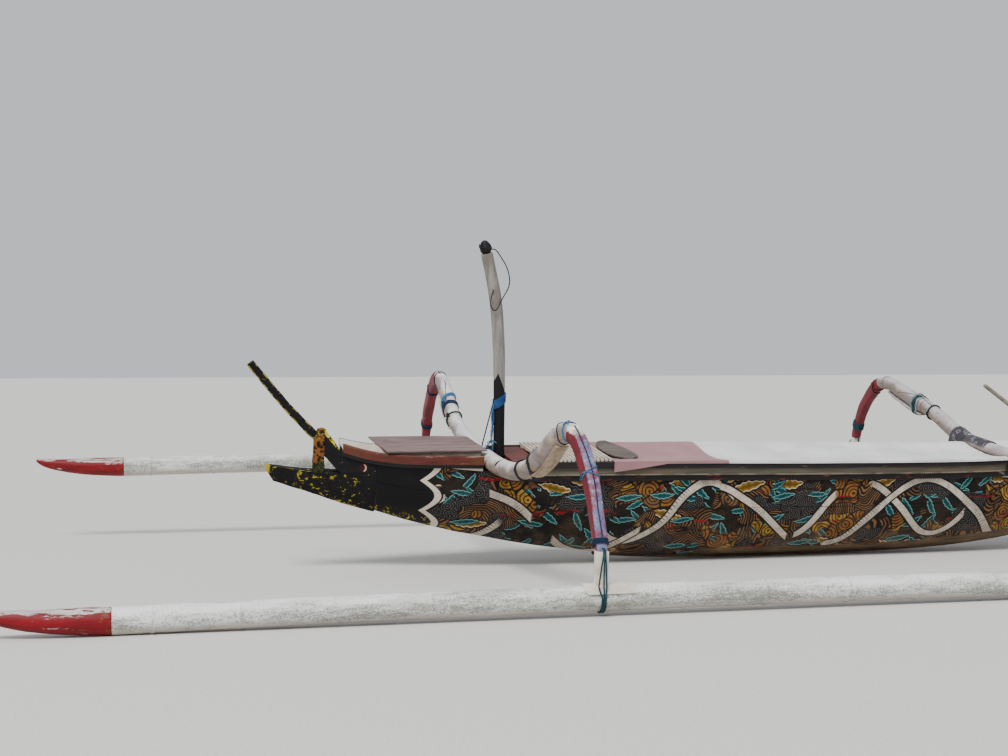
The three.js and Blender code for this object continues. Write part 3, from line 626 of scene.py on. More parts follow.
class Mural(Finish):
    """Foliage and curls of the painter's own laying out, over contour rings on a charcoal ground."""
    CURLS = (8.5, (3.1, 0.7, 0))
    # Sprays of leaves: scale, half length and half width of a leaf, least turn and spread of turns, shift,
    # share of the cells that have a leaf, colour, rim colour, and whether only the dark thickets have them
    SPRAYS = (
        (4.6, 0.105, 0.030, (-0.2, 0.6), (2.71, 0.93, 0), 0.40, "gold", "cream", False),
        (7.4, 0.082, 0.019, (0.3, 0.9), (0.0, 0.0, 0), 0.90, "teal", "sky", True),
        (8.2, 0.074, 0.017, (-0.9, 1.2), (1.37, 0.41, 0), 0.80, "teal", "sky", True),
        (6.1, 0.080, 0.018, (-0.4, 0.6), (4.13, 0.17, 0), 0.20, "teal", "sky", False),
    )
    # Ribbons: height of the middle, swing, waves along the boat, where the wave starts, shift of the gaps
    RIBBONS = ((0.34, 0.19, 6.3, 0.4, 0.0), (0.30, 0.21, 4.4, 2.6, 3.3))
    RIBBON_HALF = 0.019
    HEAD_END = -0.555

    def __init__(self, paint):
        super().__init__("painted_foliage", 0.55, Specular_IOR_Level=0.13)
        self.paint = paint
        self.darkest = toned(paint.charcoal, 0.55)
        self.spot = self.boat()
        self.x, _, self.z = self.parts(self.spot)
        self.flat = self.merge(self.x, self.z)
        self.wavy = self.noise_vector(self.flat, 5.0, 0.05)
        self.grain = self.fibres(self.spot, (3, 45, 45), 6, 0.6, 0.3)

    def cells(self, scale, shift, out, scatter=1.0, **settings):
        """One output of a field of cells: the reach from each middle, each cell's colour or its middle."""
        inputs = {"Vector": self.added(self.wavy, shift), "Scale": scale, "Randomness": scatter}
        return self.node("ShaderNodeTexVoronoi", inputs, out, voronoi_dimensions="2D", **settings)

    def stripes(self, value, count, low, high):
        """So many stripes to each unit of the value."""
        return self.step(self.sine(self.times(value, count * math.tau)), low, high)

    def painted(self):
        """All the layers, from the ground up to the dust."""
        colour = self.ground()
        level = self.added(self.scaled(self.wavy, 1.1, 7.5, 1), (2.0, 5.0, 0))
        streak = self.step(self.noise(level, 2.4, 3, 0.6), 0.61, 0.63)
        crimson = self.mix(self.step(self.grain, 0.4, 0.6), self.darkest, self.paint.crimson)
        colour = self.mix(self.times(streak, 0.9), colour, crimson)
        thicket = self.step(self.noise(self.added(self.flat, (5.3, 1.9, 0)), 3.0, 2, 0.5), 0.535, 0.55)
        colour = self.mix(self.times(thicket, 0.93), colour, self.darkest)
        for spray in self.SPRAYS:
            colour = self.spray(colour, thicket, *spray)
        return self.worn(*self.head(self.ribbons(colour)))

    def ground(self):
        """Fine grey swirls, then contour rings, then curls, parted by dark lines."""
        paint = self.paint
        region = self.noise(self.scaled(self.flat, 1.0, 1.3, 1), 2.6, 2, 0.5)
        colour = self.mix(self.step(self.grain, 0.3, 0.7), self.darkest, paint.charcoal)
        swirl = self.stripes(self.cells(15.0, (7.7, 2.2, 0), 0), 5.2, 0.55, 0.9)
        colour = self.mix(self.times(swirl, 0.75), colour, paint.ash)
        bent = self.noise_vector(self.flat, 4.0, 0.16)
        ring = self.node("ShaderNodeTexVoronoi", {"Vector": bent, "Scale": 2.9})
        tones = self.mix(self.stripes(ring, 4, -0.5, 0.6), paint.sienna, toned(paint.sienna, 0.55))
        rings = self.mix(self.stripes(ring, 23, 0.05, 0.45), self.darkest, tones)
        colour = self.mix(self.step(region, 0.455, 0.462), colour, rings)
        colour = self.mix(self.step(region, 0.535, 0.542), colour, self.curls())
        border = self.most(self.band(region, 0.448, 0.458), self.band(region, 0.528, 0.538))
        return self.mix(border, colour, self.darkest)

    def curls(self):
        """Curls of ochre, sienna and gold, one to a cell, with dark edges."""
        paint = self.paint
        number = self.parts(self.cells(*self.CURLS, 1))[0]
        warm = self.mix(self.step(number, 0.7, 0.71), paint.sienna, paint.gold)
        curls = self.mix(self.step(number, 0.35, 0.36), paint.ochre, warm)
        rubbed = self.step(self.noise(self.flat, 22, 4, 0.6), 0.35, 0.65, 0.0, 0.7)
        curls = self.mix(rubbed, curls, toned(paint.ochre, 0.35))
        curls = self.mix(self.stripes(self.cells(*self.CURLS, 0), 5.5, 0.35, 0.75), curls, self.darkest)
        edge = self.fall(self.cells(*self.CURLS, 0, feature="DISTANCE_TO_EDGE"), 0.055 * 0.6, 0.055)
        return self.mix(edge, curls, self.darkest)

    def spray(self, colour, thicket, scale, long, wide, turn, shift, share, fill, edge, inside_thicket):
        """Leaves scattered one to a cell, each with its shadow, rim, midrib and ribs."""
        fill, edge = getattr(self.paint, fill), getattr(self.paint, edge)
        number = self.parts(self.cells(scale, shift, 1, 0.85))
        middle = self.cells(scale, shift, 2, 0.85)
        place = self.added(self.wavy, shift)
        own = self.node("ShaderNodeVectorMath", {0: place, 1: middle}, operation="SUBTRACT")
        angle = self.plus(self.times(number[0], turn[1]), turn[0])
        turned = self.node("ShaderNodeVectorRotate", {"Vector": own, "Angle": angle}, rotation_type="Z_AXIS")
        a, b, _ = self.parts(turned)
        u = self.over(a, long)
        bow = self.times(self.times(u, u), 0.35 * wide)
        v = self.size(self.over(self.minus(b, bow), wide))
        lobes = self.times(self.sine(self.times(u, 17)), 0.10)
        inside = self.plus(self.minus(self.minus(1.0, self.times(u, u)), v), lobes)
        shown = self.step(number[1], 1 - share, 1.001 - share)
        body = self.times(self.step(inside, 0.0, 0.03), shown)
        shadow = self.times(self.step(inside, -0.42, -0.30), shown)
        rim_line = self.times(self.band(inside, 0.02, 0.20, 0.02), shown)
        ribs = self.stripes(self.plus(u, self.times(v, 0.5)), 5, 0.55, 0.9)
        veins = self.times(body, self.most(self.fall(v, 0.02, 0.12), ribs))
        if inside_thicket:
            parts = (body, rim_line, veins, shadow)
            body, rim_line, veins, shadow = (self.times(part, thicket) for part in parts)
        colour = self.mix(shadow, colour, self.darkest)
        colour = self.mix(body, colour, self.mix(self.step(inside, 0.1, 0.85), fill, toned(fill, 0.30)))
        colour = self.mix(self.times(veins, 0.75), colour, toned(fill, 0.22))
        return self.mix(self.times(rim_line, 0.75), colour, edge)

    def ribbons(self, colour):
        """Cream bands that swing up and down the side as they run aft, barred here and there."""
        cream = self.paint.cream
        half = self.RIBBON_HALF
        barred = self.step(self.noise(self.scaled(self.flat, 1, 0.4, 1), 5.5, 1), 0.50, 0.51)
        rubbed = self.mix(self.step(self.noise(self.spot, 30, 5, 0.7), 0.35, 0.7), cream, toned(cream, 0.62))
        for low, swing, reach, phase, shift in self.RIBBONS:
            turn = self.plus(self.times(self.x, reach), phase)
            slope = self.times(self.math("COSINE", turn), swing * reach)
            bend = self.times(self.minus(self.noise(self.flat, 2.1, 1), 0.5), 0.16)
            line = self.plus(low, self.times(self.sine(turn), swing), bend)
            shrink = self.math("INVERSE_SQRT", self.plus(1.0, self.times(slope, slope)))
            off = self.size(self.times(self.minus(self.z, line), shrink))
            gaps = self.noise(self.added(self.scaled(self.flat, 1, 0.1, 1), (shift, 0, 0)), 1.5, 1)
            gate = self.step(gaps, 0.47, 0.48)
            colour = self.mix(self.times(self.fall(off, half * 1.55, half * 1.7), gate), colour, self.darkest)
            bars = self.times(self.stripes(self.plus(self.x, self.times(off, 0.9)), 70, 0.72, 0.9), barred)
            band = self.mix(bars, rubbed, self.darkest)
            colour = self.mix(self.times(self.fall(off, half, half * 1.12), gate), colour, band)
        return colour

    def head(self, colour):
        """The black of the head, which ends in a scalloped cream edge; with the distance from that edge."""
        paint = self.paint
        scallop = self.times(self.size(self.sine(self.times(self.z, 17.0))), 0.085)
        edge = self.minus(self.x, self.plus(scallop, self.HEAD_END))
        speck = self.step(self.noise(self.spot, 42, 5, 0.68), 0.57, 0.60)
        low = self.fall(self.plus(self.z, self.times(self.x, 0.24)), 0.17, 0.23)
        black = self.mix(self.times(speck, low), paint.black, paint.mustard)
        colour = self.mix(self.band(edge, 0.0, 0.052), colour, paint.charcoal)
        colour = self.mix(self.band(edge, 0.0, 0.040), colour, paint.cream)
        return self.mix(self.fall(edge, -0.002, 0.002), colour, black), edge

    def worn(self, colour, edge):
        """Bare wood where the paint is rubbed off and along the sole, and dust towards the ground."""
        paint = self.paint
        rub = self.fibres(self.spot, (6, 14, 22), 6, 0.72)
        bare = self.step(self.plus(rub, self.step(self.below_rail(), 0.36, 0.62, -0.07, 0.06)), 0.65, 0.69)
        wood = self.mix(self.step(self.grain, 0.35, 0.65), toned(paint.wood, 0.45), paint.wood)
        colour = self.mix(self.times(bare, 0.85), colour, wood)
        aft = self.most(self.minus(self.x, 2.1), 0.0)
        above_sole = self.minus(self.z, self.times(self.times(aft, aft), 0.053))
        sole = self.times(self.fall(above_sole, 0.088, 0.092), self.step(self.x, 1.0, 1.5))
        colour = self.mix(sole, colour, wood)
        dust = self.times(self.step(self.noise(self.spot, 5, 5, 0.7), 0.42, 0.75),
                          self.step(self.z, 0.05, 0.40, 0.40, 0.06), self.step(edge, -0.12, 0.15, 0.12, 1.0))
        colour = self.mix(dust, colour, paint.dust)
        relief = self.plus(self.times(self.grain, 0.5), self.times(bare, -0.5))
        return self.done(colour, relief, 0.0015, 0.6, self.step(bare, 0, 1, 0.48, 0.85))


def blotched(name, ground, spots, cover, scale, edge=None):
    """Black paint with ragged patches of a second one; cover says how much more of them, edge adds to it."""
    f = Finish(name, 0.7, Specular_IOR_Level=0.10)
    p = f.boat()
    x, y, z = f.parts(p)
    patches = f.noise(f.scaled(p, 0.8, 1, 1.2), scale, 5, 0.68)
    fibres = f.fibres(p, (6, 30, 30), 6, 0.65)
    spot = f.step(f.plus(patches, cover(f, x, y, z)), 0.585, 0.61)
    tone = f.mix(f.step(fibres, 0.3, 0.7), toned(spots, 0.55), spots)
    colour = f.mix(spot, f.mix(f.step(patches, 0.2, 0.6), ground, toned(ground, 1.9)), tone)
    chips = f.step(f.fibres(p, (14, 14, 30), 5, 0.75), 0.66, 0.69)
    colour = f.mix(f.times(chips, 0.8), colour, (0.42, 0.38, 0.33))
    if edge:
        colour = edge(f, x, y, z, colour)
    return f.done(colour, f.minus(f.times(fibres, 0.7), f.times(chips, 0.8)), 0.002, 0.8)


def rail_paint(paint):
    """The bands of the rail: dark on top, weathered grey in the middle, dark below with red under it."""
    f = Finish("rail_bands", 0.6)
    p = f.boat()
    x = f.parts(p)[0]
    drop = f.below_rail()
    fibres = f.fibres(p, (2.5, 60, 60), 7, 0.62, 0.3)
    scuff = f.fibres(p, (7, 20, 30), 6, 0.7)
    top = f.mix(f.step(fibres, 0.35, 0.7), paint.rail_dark, toned(paint.rail_dark, 2.1))
    middle = f.mix(f.step(fibres, 0.35, 0.68), toned(paint.rail_grey, 0.5), paint.rail_grey)
    middle = f.mix(f.step(f.fibres(p, (1.2, 4, 4), 4, 0.55), 0.5, 0.7), middle, paint.rail_brown)
    lower = f.mix(f.step(scuff, 0.56, 0.62), paint.rail_dark, paint.maroon)
    colour = f.mix(f.step(drop, 0.036, 0.039), top, middle)
    colour = f.mix(f.step(drop, 0.079, 0.083), colour, lower)
    light = f.times(f.band(drop, 0.072, 0.083, 0.002), f.step(scuff, 0.40, 0.52))
    colour = f.mix(f.times(light, 0.7), colour, toned(paint.rail_grey, 2.0))
    worn = f.step(scuff, 0.62, 0.66)
    colour = f.mix(f.times(worn, 0.75), colour, paint.wood)
    patch = f.times(f.step(f.plus(x, f.times(scuff, 0.05)), 3.165, 3.18), f.fall(x, 3.50, 3.52))
    colour = f.mix(f.times(patch, 0.92), colour, paint.black)
    return f.done(colour, f.minus(fibres, f.times(worn, 0.6)), 0.0018, 0.75)


def culm(paint):
    """White paint on bamboo: speckled with grey mould along the side, with brownish painted shade underneath.
    """
    f = Finish("white_bamboo", 0.45)
    p = f.boat()
    up = f.facing()[2]
    streaks = f.fibres(p, (5, 40, 40), 6, 0.65)
    cloud = f.fibres(p, (1.6, 7, 7), 5, 0.65)
    swing = f.times(f.minus(cloud, 0.5), 0.8)
    colour = f.mix(f.step(cloud, 0.35, 0.7), paint.white, paint.chalk)
    # Painted shade: faces that look down turn brownish grey, like shade lit from the sand below.
    under = f.fall(f.plus(up, swing), -0.85, -0.30)
    colour = f.mix(f.times(under, 0.75), colour, (0.40, 0.34, 0.26))
    smear = f.fibres(p, (7.0, 34, 34), 7, 0.80)
    fine = f.noise(f.scaled(p, 1.0, 1.5, 1.5), 95.0, 5, 0.80)
    side = f.times(f.step(up, -0.95, -0.35), f.fall(up, 0.0, 0.75))
    amount = f.plus(f.times(smear, 0.42), f.times(fine, 0.58), f.times(side, 0.07), f.times(swing, 0.30))
    colour = f.mix(f.step(amount, 0.42, 0.60, 0.0, 0.45), colour, (0.38, 0.375, 0.34))
    colour = f.mix(f.step(amount, 0.53, 0.62, 0.0, 0.75), colour, (0.155, 0.155, 0.125))
    dots = f.step(f.noise(f.scaled(p, 1.0, 1.4, 1.4), 46.0, 4, 0.65), 0.66, 0.70)
    colour = f.mix(f.times(dots, 0.6), colour, (0.09, 0.09, 0.07))
    ring = f.fall(f.parts(f.uv("rings"))[0], 0.001, 0.006)
    colour = f.mix(f.times(ring, f.step(streaks, 0.4, 0.6, 0.05, 0.35)), colour, (0.25, 0.23, 0.18))
    relief = f.minus(streaks, f.times(f.step(amount, 0.52, 0.62), 0.5))
    return f.done(colour, relief, 0.0012, 0.6, f.step(amount, 0.5, 0.6, 0.42, 0.8))


def weave(name, colour, faded, thread=0.0016, roughness=0.85, stain=0.5, flowers=None):
    """Woven cloth on the sheet's own map, with slubs, fading and dirt, and printed flowers of one colour."""
    f = Finish(name, roughness, Sheen_Weight=0.2)
    flat = f.uv("cut")
    u, v, _ = f.parts(f.noise_vector(flat, 40, 0.0012))
    warp = f.sine(f.times(u, math.tau / thread / 2))
    weft = f.sine(f.times(v, math.tau / thread / 2))
    cloth = f.times(warp, weft)
    tone = f.mix(f.step(f.noise(flat, 3.2, 5, 0.6), 0.35, 0.68), colour, faded)
    if flowers:
        bloom = f.node("ShaderNodeTexVoronoi", {"Vector": f.noise_vector(flat, 18, 0.02), "Scale": 16.0},
                       voronoi_dimensions="2D")
        petals = f.plus(bloom, f.times(f.noise(flat, 55, 3), 0.25))
        tone = f.mix(f.times(f.band(petals, 0.24, 0.38, 0.02), 0.8), tone, flowers)
    tone = f.mix(f.step(cloth, -0.4, 0.8, 0.25, 0.0), tone, toned(colour, 0.5))
    dirt = f.step(f.noise(f.scaled(flat, 1, 2.2, 1), 7.0, 6, 0.72), 0.55, 0.78)
    tone = f.mix(f.times(dirt, stain), tone, (0.16, 0.13, 0.11))
    slub = f.noise(f.scaled(flat, 60, 900, 1), 1.0, 2)
    return f.done(tone, f.plus(cloth, slub), 0.0006, 0.5)


def twine(name, colour):
    """Twisted rope, by its slanting strands."""
    f = Finish(name, 0.8)
    p = f.boat()
    strand = f.sine(f.times(f.plus(*f.parts(p)), math.tau / STRAND_LAY))
    fluff = f.noise(p, 420, 3)
    worn = f.noise(p, 22, 4, 0.6)
    tone = f.mix(f.step(strand, -0.6, 0.6), toned(colour, 0.45), colour)
    tone = f.mix(f.step(worn, 0.45, 0.7, 0, 0.55), tone, tuple(min(c * 1.6 + 0.02, 1) for c in colour))
    return f.done(tone, f.plus(strand, fluff), 0.0008, 0.7)


# What a user may change

def tint(name, description, rgb):
    """A colour that a user may change."""
    return bpy.props.FloatVectorProperty(name=name, description=description, default=rgb, size=3, min=0,
                                         max=1, subtype="COLOR")


class CanoePaint(bpy.types.PropertyGroup):
    """The colours of the hull, its head and its gear."""
    black: tint("Black", "Paint of the head and the mast's foot", (0.006, 0.0055, 0.006))
    charcoal: tint("Charcoal", "Ground of the painted sides", (0.011, 0.010, 0.010))
    ash: tint("Ash", "Fine grey lines on the ground", (0.11, 0.105, 0.10))
    sienna: tint("Sienna", "Contour rings", (0.17, 0.085, 0.035))
    ochre: tint("Ochre", "Scrolls", (0.24, 0.10, 0.022))
    teal: tint("Teal", "Leaves", (0.012, 0.14, 0.155))
    sky: tint("Pale blue", "Rims of the leaves", (0.24, 0.44, 0.40))
    gold: tint("Gold", "Yellow leaves", (0.36, 0.20, 0.025))
    crimson: tint("Crimson", "Float tips and accents", (0.23, 0.0035, 0.010))
    cream: tint("Cream", "Ribbons and deck", (0.58, 0.50, 0.41))
    mustard: tint("Mustard", "Edges of the head", (0.42, 0.33, 0.02))
    rust: tint("Rust", "The tusk", (0.125, 0.047, 0.012))
    maroon: tint("Maroon", "Foredeck rails", (0.105, 0.015, 0.010))
    red: tint("Red", "Fore side of the legs", (0.19, 0.005, 0.014))
    lilac: tint("Lilac", "Outer face of the legs", (0.15, 0.16, 0.29))
    white: tint("White", "Booms and floats", (0.82, 0.82, 0.80))
    chalk: tint("Chalk", "Faded white", (0.60, 0.60, 0.58))
    tan: tint("Tan", "Bare wood under the booms", (0.42, 0.31, 0.20))
    wood: tint("Wood", "Bare hull wood", (0.15, 0.10, 0.06))
    grey_wood: tint("Grey wood", "The weathered mast", (0.33, 0.31, 0.285))
    rail_dark: tint("Rail dark", "Top and lower bands of the rail", (0.011, 0.008, 0.009))
    rail_grey: tint("Rail grey", "Middle band of the rail", (0.115, 0.10, 0.072))
    rail_brown: tint("Rail brown", "Stains of the middle band", (0.13, 0.08, 0.045))
    dust: tint("Dust", "Sand dust on the lower hull", (0.28, 0.18, 0.10))


class CanoeSoft(bpy.types.PropertyGroup):
    """The ropes and cloths."""
    navy: tint("Navy rope", "Dark lashings", (0.010, 0.028, 0.075))
    blue: tint("Blue rope", "Light lashings", (0.065, 0.18, 0.34))
    black_rope: tint("Black rope", "Windings of the booms", (0.018, 0.018, 0.022))
    teal_rope: tint("Teal rope", "Loops of the feet", (0.012, 0.055, 0.075))
    pale_rope: tint("Pale rope", "Thin grey lines", (0.30, 0.36, 0.34))
    azure: tint("Mast band", "The band round the mast", (0.018, 0.085, 0.26))
    rose: tint("Rose cloth", "The cloth over the hold", (0.32, 0.165, 0.175))
    sheet: tint("White sheet", "The long cover", (0.88, 0.88, 0.87))
    rope_radius: bpy.props.FloatProperty(name="Rope radius", description="Radius of the lashing ropes",
                                         default=0.0042, min=0.002, max=0.01, unit="LENGTH")
    fold_height: bpy.props.FloatProperty(name="Fold height", description="Height of the folds in the cloths",
                                         default=0.006, min=0.0, max=0.02, unit="LENGTH")
    cloth_thickness: bpy.props.FloatProperty(name="Cloth thickness", description="Thickness of the cloths",
                                             default=0.0022, min=0.001, max=0.005, unit="LENGTH")


class CanoeCarving(bpy.types.PropertyGroup):
    """How rough the wood is left."""
    adze: bpy.props.FloatProperty(name="Adze marks", description="Depth of the tool marks in the hull",
                                  default=0.0025, min=0.0, max=0.01, unit="LENGTH")
    knots: bpy.props.FloatProperty(name="Branch knots", description="Unevenness of the booms and the mast",
                                   default=0.0045, min=0.0, max=0.012, unit="LENGTH")
    culm_ring: bpy.props.FloatProperty(name="Culm rings", description="Height of the rings of the bamboo",
                                       default=0.0035, min=0.0, max=0.008, unit="LENGTH")
    culm_step: bpy.props.FloatProperty(name="Culm step", description="Distance between the bamboo's rings",
                                       default=0.42, min=0.2, max=0.8, unit="LENGTH")


# The camera, the light and the floor

class CANOE_OT_stage(bpy.types.Operator):
    """Camera, soft light and a pale floor"""
    bl_idname = "canoe.stage"
    bl_label = "Stage"
    CAMERA_PLACE = (-3.02835, -9.05789, 1.29725)
    # Degrees that the camera looks down, and turns from straight across the boat
    CAMERA_DIP, CAMERA_TURN = 1.109, -12.9
    FOCAL_LENGTH, SENSOR = 55.36, 36.0
    # Lamps: name, kind, place, tilt and turn in degrees, power, and the sun's angle or the lamp's size
    LAMPS = (
        ("sun", "SUN", (4, -2, 9), 36, -34, 3.4, 0.35),
        ("fill", "AREA", (-5, -8, 6), 52, -32, 120, 6.0),
    )

    def execute(self, context):
        lens = bpy.data.cameras.new("camera")
        lens.lens, lens.sensor_width, lens.sensor_fit = self.FOCAL_LENGTH, self.SENSOR, "HORIZONTAL"
        lens.clip_end = 200
        camera = bpy.data.objects.new("camera", lens)
        camera.location = self.CAMERA_PLACE
        camera.rotation_euler = (math.radians(90 - self.CAMERA_DIP), 0, math.radians(self.CAMERA_TURN))
        context.scene.collection.objects.link(camera)
        context.scene.camera = camera

        sky = bpy.data.worlds.new("sky")
        sky.use_nodes = True
        sky.node_tree.nodes["Background"].inputs["Color"].default_value = (0.93, 0.96, 1.0, 1)
        sky.node_tree.nodes["Background"].inputs["Strength"].default_value = 0.72
        context.scene.world = sky
        for name, kind, place, tilt, turn, power, size in self.LAMPS:
            light = bpy.data.lights.new(name, kind)
            light.energy = power
            if kind == "SUN":
                light.angle = size
            else:
                light.size = size
            lamp = bpy.data.objects.new(name, light)
            lamp.location, lamp.rotation_euler = place, (math.radians(tilt), 0, math.radians(turn))
            context.scene.collection.objects.link(lamp)

        bpy.ops.object.select_all(action="DESELECT")
        bpy.ops.mesh.primitive_plane_add(size=120, location=(0, 0, 0))
        floor = context.view_layer.objects.active
        floor.name = "floor"
        f = Finish("pale_floor", 0.9)
        grain = f.noise(f.place(), 60, 4)
        tones = f.mix(f.step(grain, 0.3, 0.7), (0.60, 0.585, 0.56), (0.66, 0.645, 0.62))
        floor.data.materials.append(f.done(tones, grain, 0.001, 0.2))
        return {"FINISHED"}


class CANOE_OT_mast_cord(bpy.types.Operator):
    """The loose cord at the head of the mast"""
    bl_idname = "canoe.mast_cord"
    bl_label = "Mast cord"

    def execute(self, context):
        line = through([boat(*p) for p in CORD_ROUTE], 4)
        cord = rope("halyard_end", line, CORD_RADIUS)
        dress(cord, twine("dark_cord", (0.03, 0.03, 0.035)), nodes=("mast_cord",))
        return {"FINISHED"}


# The hull

class CANOE_OT_hull(bpy.types.Operator):
    """The dugout log, its strakes, keel plank and upswept tail"""
    bl_idname = "canoe.hull"
    bl_label = "Hull"

    def execute(self, context):
        paint, adze = context.scene.canoe_paint, context.scene.canoe_carving.adze
        skin = (Mural(paint).painted(), bare_wood("inner_wood", (0.17, 0.13, 0.09), (0.07, 0.05, 0.035)))
        log_nodes = ("log_fore", "log_middle", "log_aft")
        log = from_solids("dugout_log", *log_nodes)
        drop_faces(log, lambda c, n: abs(n.x) > 0.9 and min(abs(c.x - cut) for cut in LOG_CUTS) < 0.003)
        open_edit(log)
        bpy.ops.mesh.remove_doubles(threshold=SEAM_WELD)
        close_edit()
        soften(log, 0.004, 2)
        hew(log, adze, 0.10, (0.5, 1, 1))
        self.paint(log, skin)
        dress(log, None, nodes=log_nodes)
        for side in ("port", "starboard"):
            node = "strake_" + side
            strake = carve("strake_plank_" + side, node, 0.003, 2, adze * 0.5, 0.10, (0.4, 1, 1), 2.0)
            self.paint(strake, skin)
            dress(strake, None, nodes=(node,))
        tail = carve("upswept_tail", "stern_tail", 0.006, 2, adze, 0.12)
        self.paint(tail, skin)
        dress(tail, None, nodes=("stern_tail",))
        keel = soften(from_solids("rubbing_keel", "keel_plank"), 0.003, 1)
        keel_wood = bare_wood("keel_wood", (0.22, 0.15, 0.09), (0.09, 0.06, 0.04))
        dress(keel, keel_wood, nodes=("keel_plank",))
        return {"FINISHED"}

    def paint(self, obj, skin):
        """The outer skin takes the painted sides, the hollow and the edges the bare wood."""
        for finish in skin:
            obj.data.materials.append(finish)
        sheer_uv(obj)
        turn = TO_BOAT.to_3x3()
        for face in obj.data.polygons:
            spot, way = aboard(face.center), turn @ face.normal
            outward = way.y * (1 if spot.y > 0 else -1)
            face.material_index = 0 if outward > 0.12 or way.z < -0.25 or spot.x > SOLID_TAIL else 1


class CANOE_OT_head(bpy.types.Operator):
    """The carved head: jaw, snout, horn, tusk and crest"""
    bl_idname = "canoe.head"
    bl_label = "Head"
    # The spots of the eye: place along the boat and height, half length and half height
    EYE_RIM = (-0.872, 0.620, 0.024, 0.026)
    EYE_BALL = (-0.870, 0.620, 0.014, 0.021)
    PUPIL = (-0.879, 0.621, 0.014, 0.020)
    CHEEK_DOTS = ((-0.872, 0.571), (-0.840, 0.563), (-0.814, 0.559))
    DOT = 0.0075
    # How long the jaw's lifted end is, how far it is lifted, and how deep the jaw is there
    FAIR_RUN, FAIR_LIFT, FAIR_DEPTH = 0.30, 0.013, 0.20

    def execute(self, context):
        paint, adze = context.scene.canoe_paint, context.scene.canoe_carving.adze

        def on_jaw(f, x, y, z):
            """Thin on the upper side, thick along the lower edge, and gone towards the cheek."""
            edge = f.minus(z, f.times(f.plus(x, 1.40), -0.24))
            return f.plus(f.step(edge, 0.47, 0.56, 0.055, -0.012), f.step(x, -1.02, -0.72, 0.012, -0.085))

        def jaw_tip(f, x, y, z, colour):
            """Solid yellow at the pointed end."""
            tip = f.fall(f.plus(x, f.times(f.noise(f.merge(x, y, z), 30), 0.03)), -1.40, -1.385)
            return f.mix(f.times(tip, 0.9), colour, paint.mustard)

        def eye(f, x, y, z, colour):
            """A small eye and three dots behind the mouth."""
            def spot(cx, cz, rx, rz, low, high):
                a = f.over(f.minus(x, cx), rx)
                b = f.over(f.minus(z, cz), rz)
                return f.fall(f.plus(f.times(a, a), f.times(b, b)), low, high)

            rim_red = spot(*self.EYE_RIM, 0.8, 1.2)
            colour = f.mix(f.times(rim_red, 0.5), colour, (0.06, 0.010, 0.008))
            colour = f.mix(spot(*self.EYE_BALL, 0.9, 1.1), colour, (0.46, 0.30, 0.25))
            colour = f.mix(spot(*self.PUPIL, 0.9, 1.1), colour, (0.035, 0.010, 0.008))
            for cx, cz in self.CHEEK_DOTS:
                colour = f.mix(spot(cx, cz, self.DOT, self.DOT, 0.8, 1.2), colour, paint.cream)
            return colour

        def horn_edges(f, x, y, z, colour):
            """Yellow left along the horn's edges."""
            edge = f.size(f.facing()[1])
            ragged = f.noise(f.merge(x, y, z), 30, 4, 0.7)
            line = f.times(f.band(edge, 0.30, 0.86, 0.05), f.step(ragged, 0.50, 0.54))
            return f.mix(f.times(line, 0.8), colour, paint.mustard)

        def tusk_root(f, x, y, z, colour):
            """Yellow flecks high up, and black and mossy where the block stands on the jaw."""
            place = f.merge(x, y, z)
            ragged = f.plus(z, f.times(f.noise(place, 40, 3), 0.05))
            moss = f.mix(f.step(f.noise(place, 90, 3), 0.45, 0.6), (0.012, 0.014, 0.008), (0.05, 0.06, 0.02))
            fleck = f.times(f.step(z, 0.74, 0.80), f.step(f.noise(place, 55, 4, 0.7), 0.52, 0.56))
            colour = f.mix(f.times(fleck, 0.9), colour, (0.30, 0.22, 0.02))
            return f.mix(f.fall(ragged, 0.655, 0.675), colour, moss)

        def on_snout(f, x, y, z):
            return f.step(z, 0.50, 0.60, 0.03, -0.12)

        def on_horn(f, x, y, z):
            return f.step(z, 0.80, 1.1, -0.02, -0.12)

        # Pieces: name, solid, edge, depth and size of the tool marks, slot, and the words of their finish
        rows = (
            ("carved_jaw", "lower_jaw", 0.006, adze * 1.5, 0.07, "black",
             ("black_yellow", paint.black, paint.mustard, on_jaw, 38.0, jaw_tip)),
            ("carved_snout", "snout", 0.005, adze, 0.07, "black",
             ("head_black", paint.black, paint.mustard, on_snout, 30.0, eye)),
            ("curved_horn", "prow_horn", 0.004, adze, 0.06, "black",
             ("horn_black", paint.black, (0.34, 0.30, 0.20), on_horn, 40.0, horn_edges)),
            ("worn_tusk", "tusk", 0.004, adze * 2.4, 0.03, "rust",
             ("rusty_tusk", paint.rust, (0.012, 0.010, 0.007), lambda *_: 0.085, 52.0, tusk_root)),
            ("snout_ridge", "snout_crest", 0.010, adze * 3, 0.03, "mustard",
             ("crest_yellow", paint.mustard, paint.black, lambda *_: 0.06, 34.0)),
        )
        for name, node, edge, depth, size, slot, finish in rows:
            piece = carve(name, node, edge, 2, depth, size)
            if node == "lower_jaw":
                self.fair(piece)
            dress(piece, blotched(*finish), nodes=(node,))
        return {"FINISHED"}

    def fair(self, jaw):
        """Lifts the jaw's sole towards its aft end, so that it runs into the log's."""
        spots = [aboard(v.co) for v in jaw.data.vertices]
        end = max(p.x for p in spots)
        top = max(p.z for p in spots)
        for v, p in zip(jaw.data.vertices, spots):
            share = min(max((p.x - end + self.FAIR_RUN) / self.FAIR_RUN, 0.0), 1.0)
            depth = min((top - p.z) / self.FAIR_DEPTH, 1.0)
            v.co.z += self.FAIR_LIFT * share * share * depth


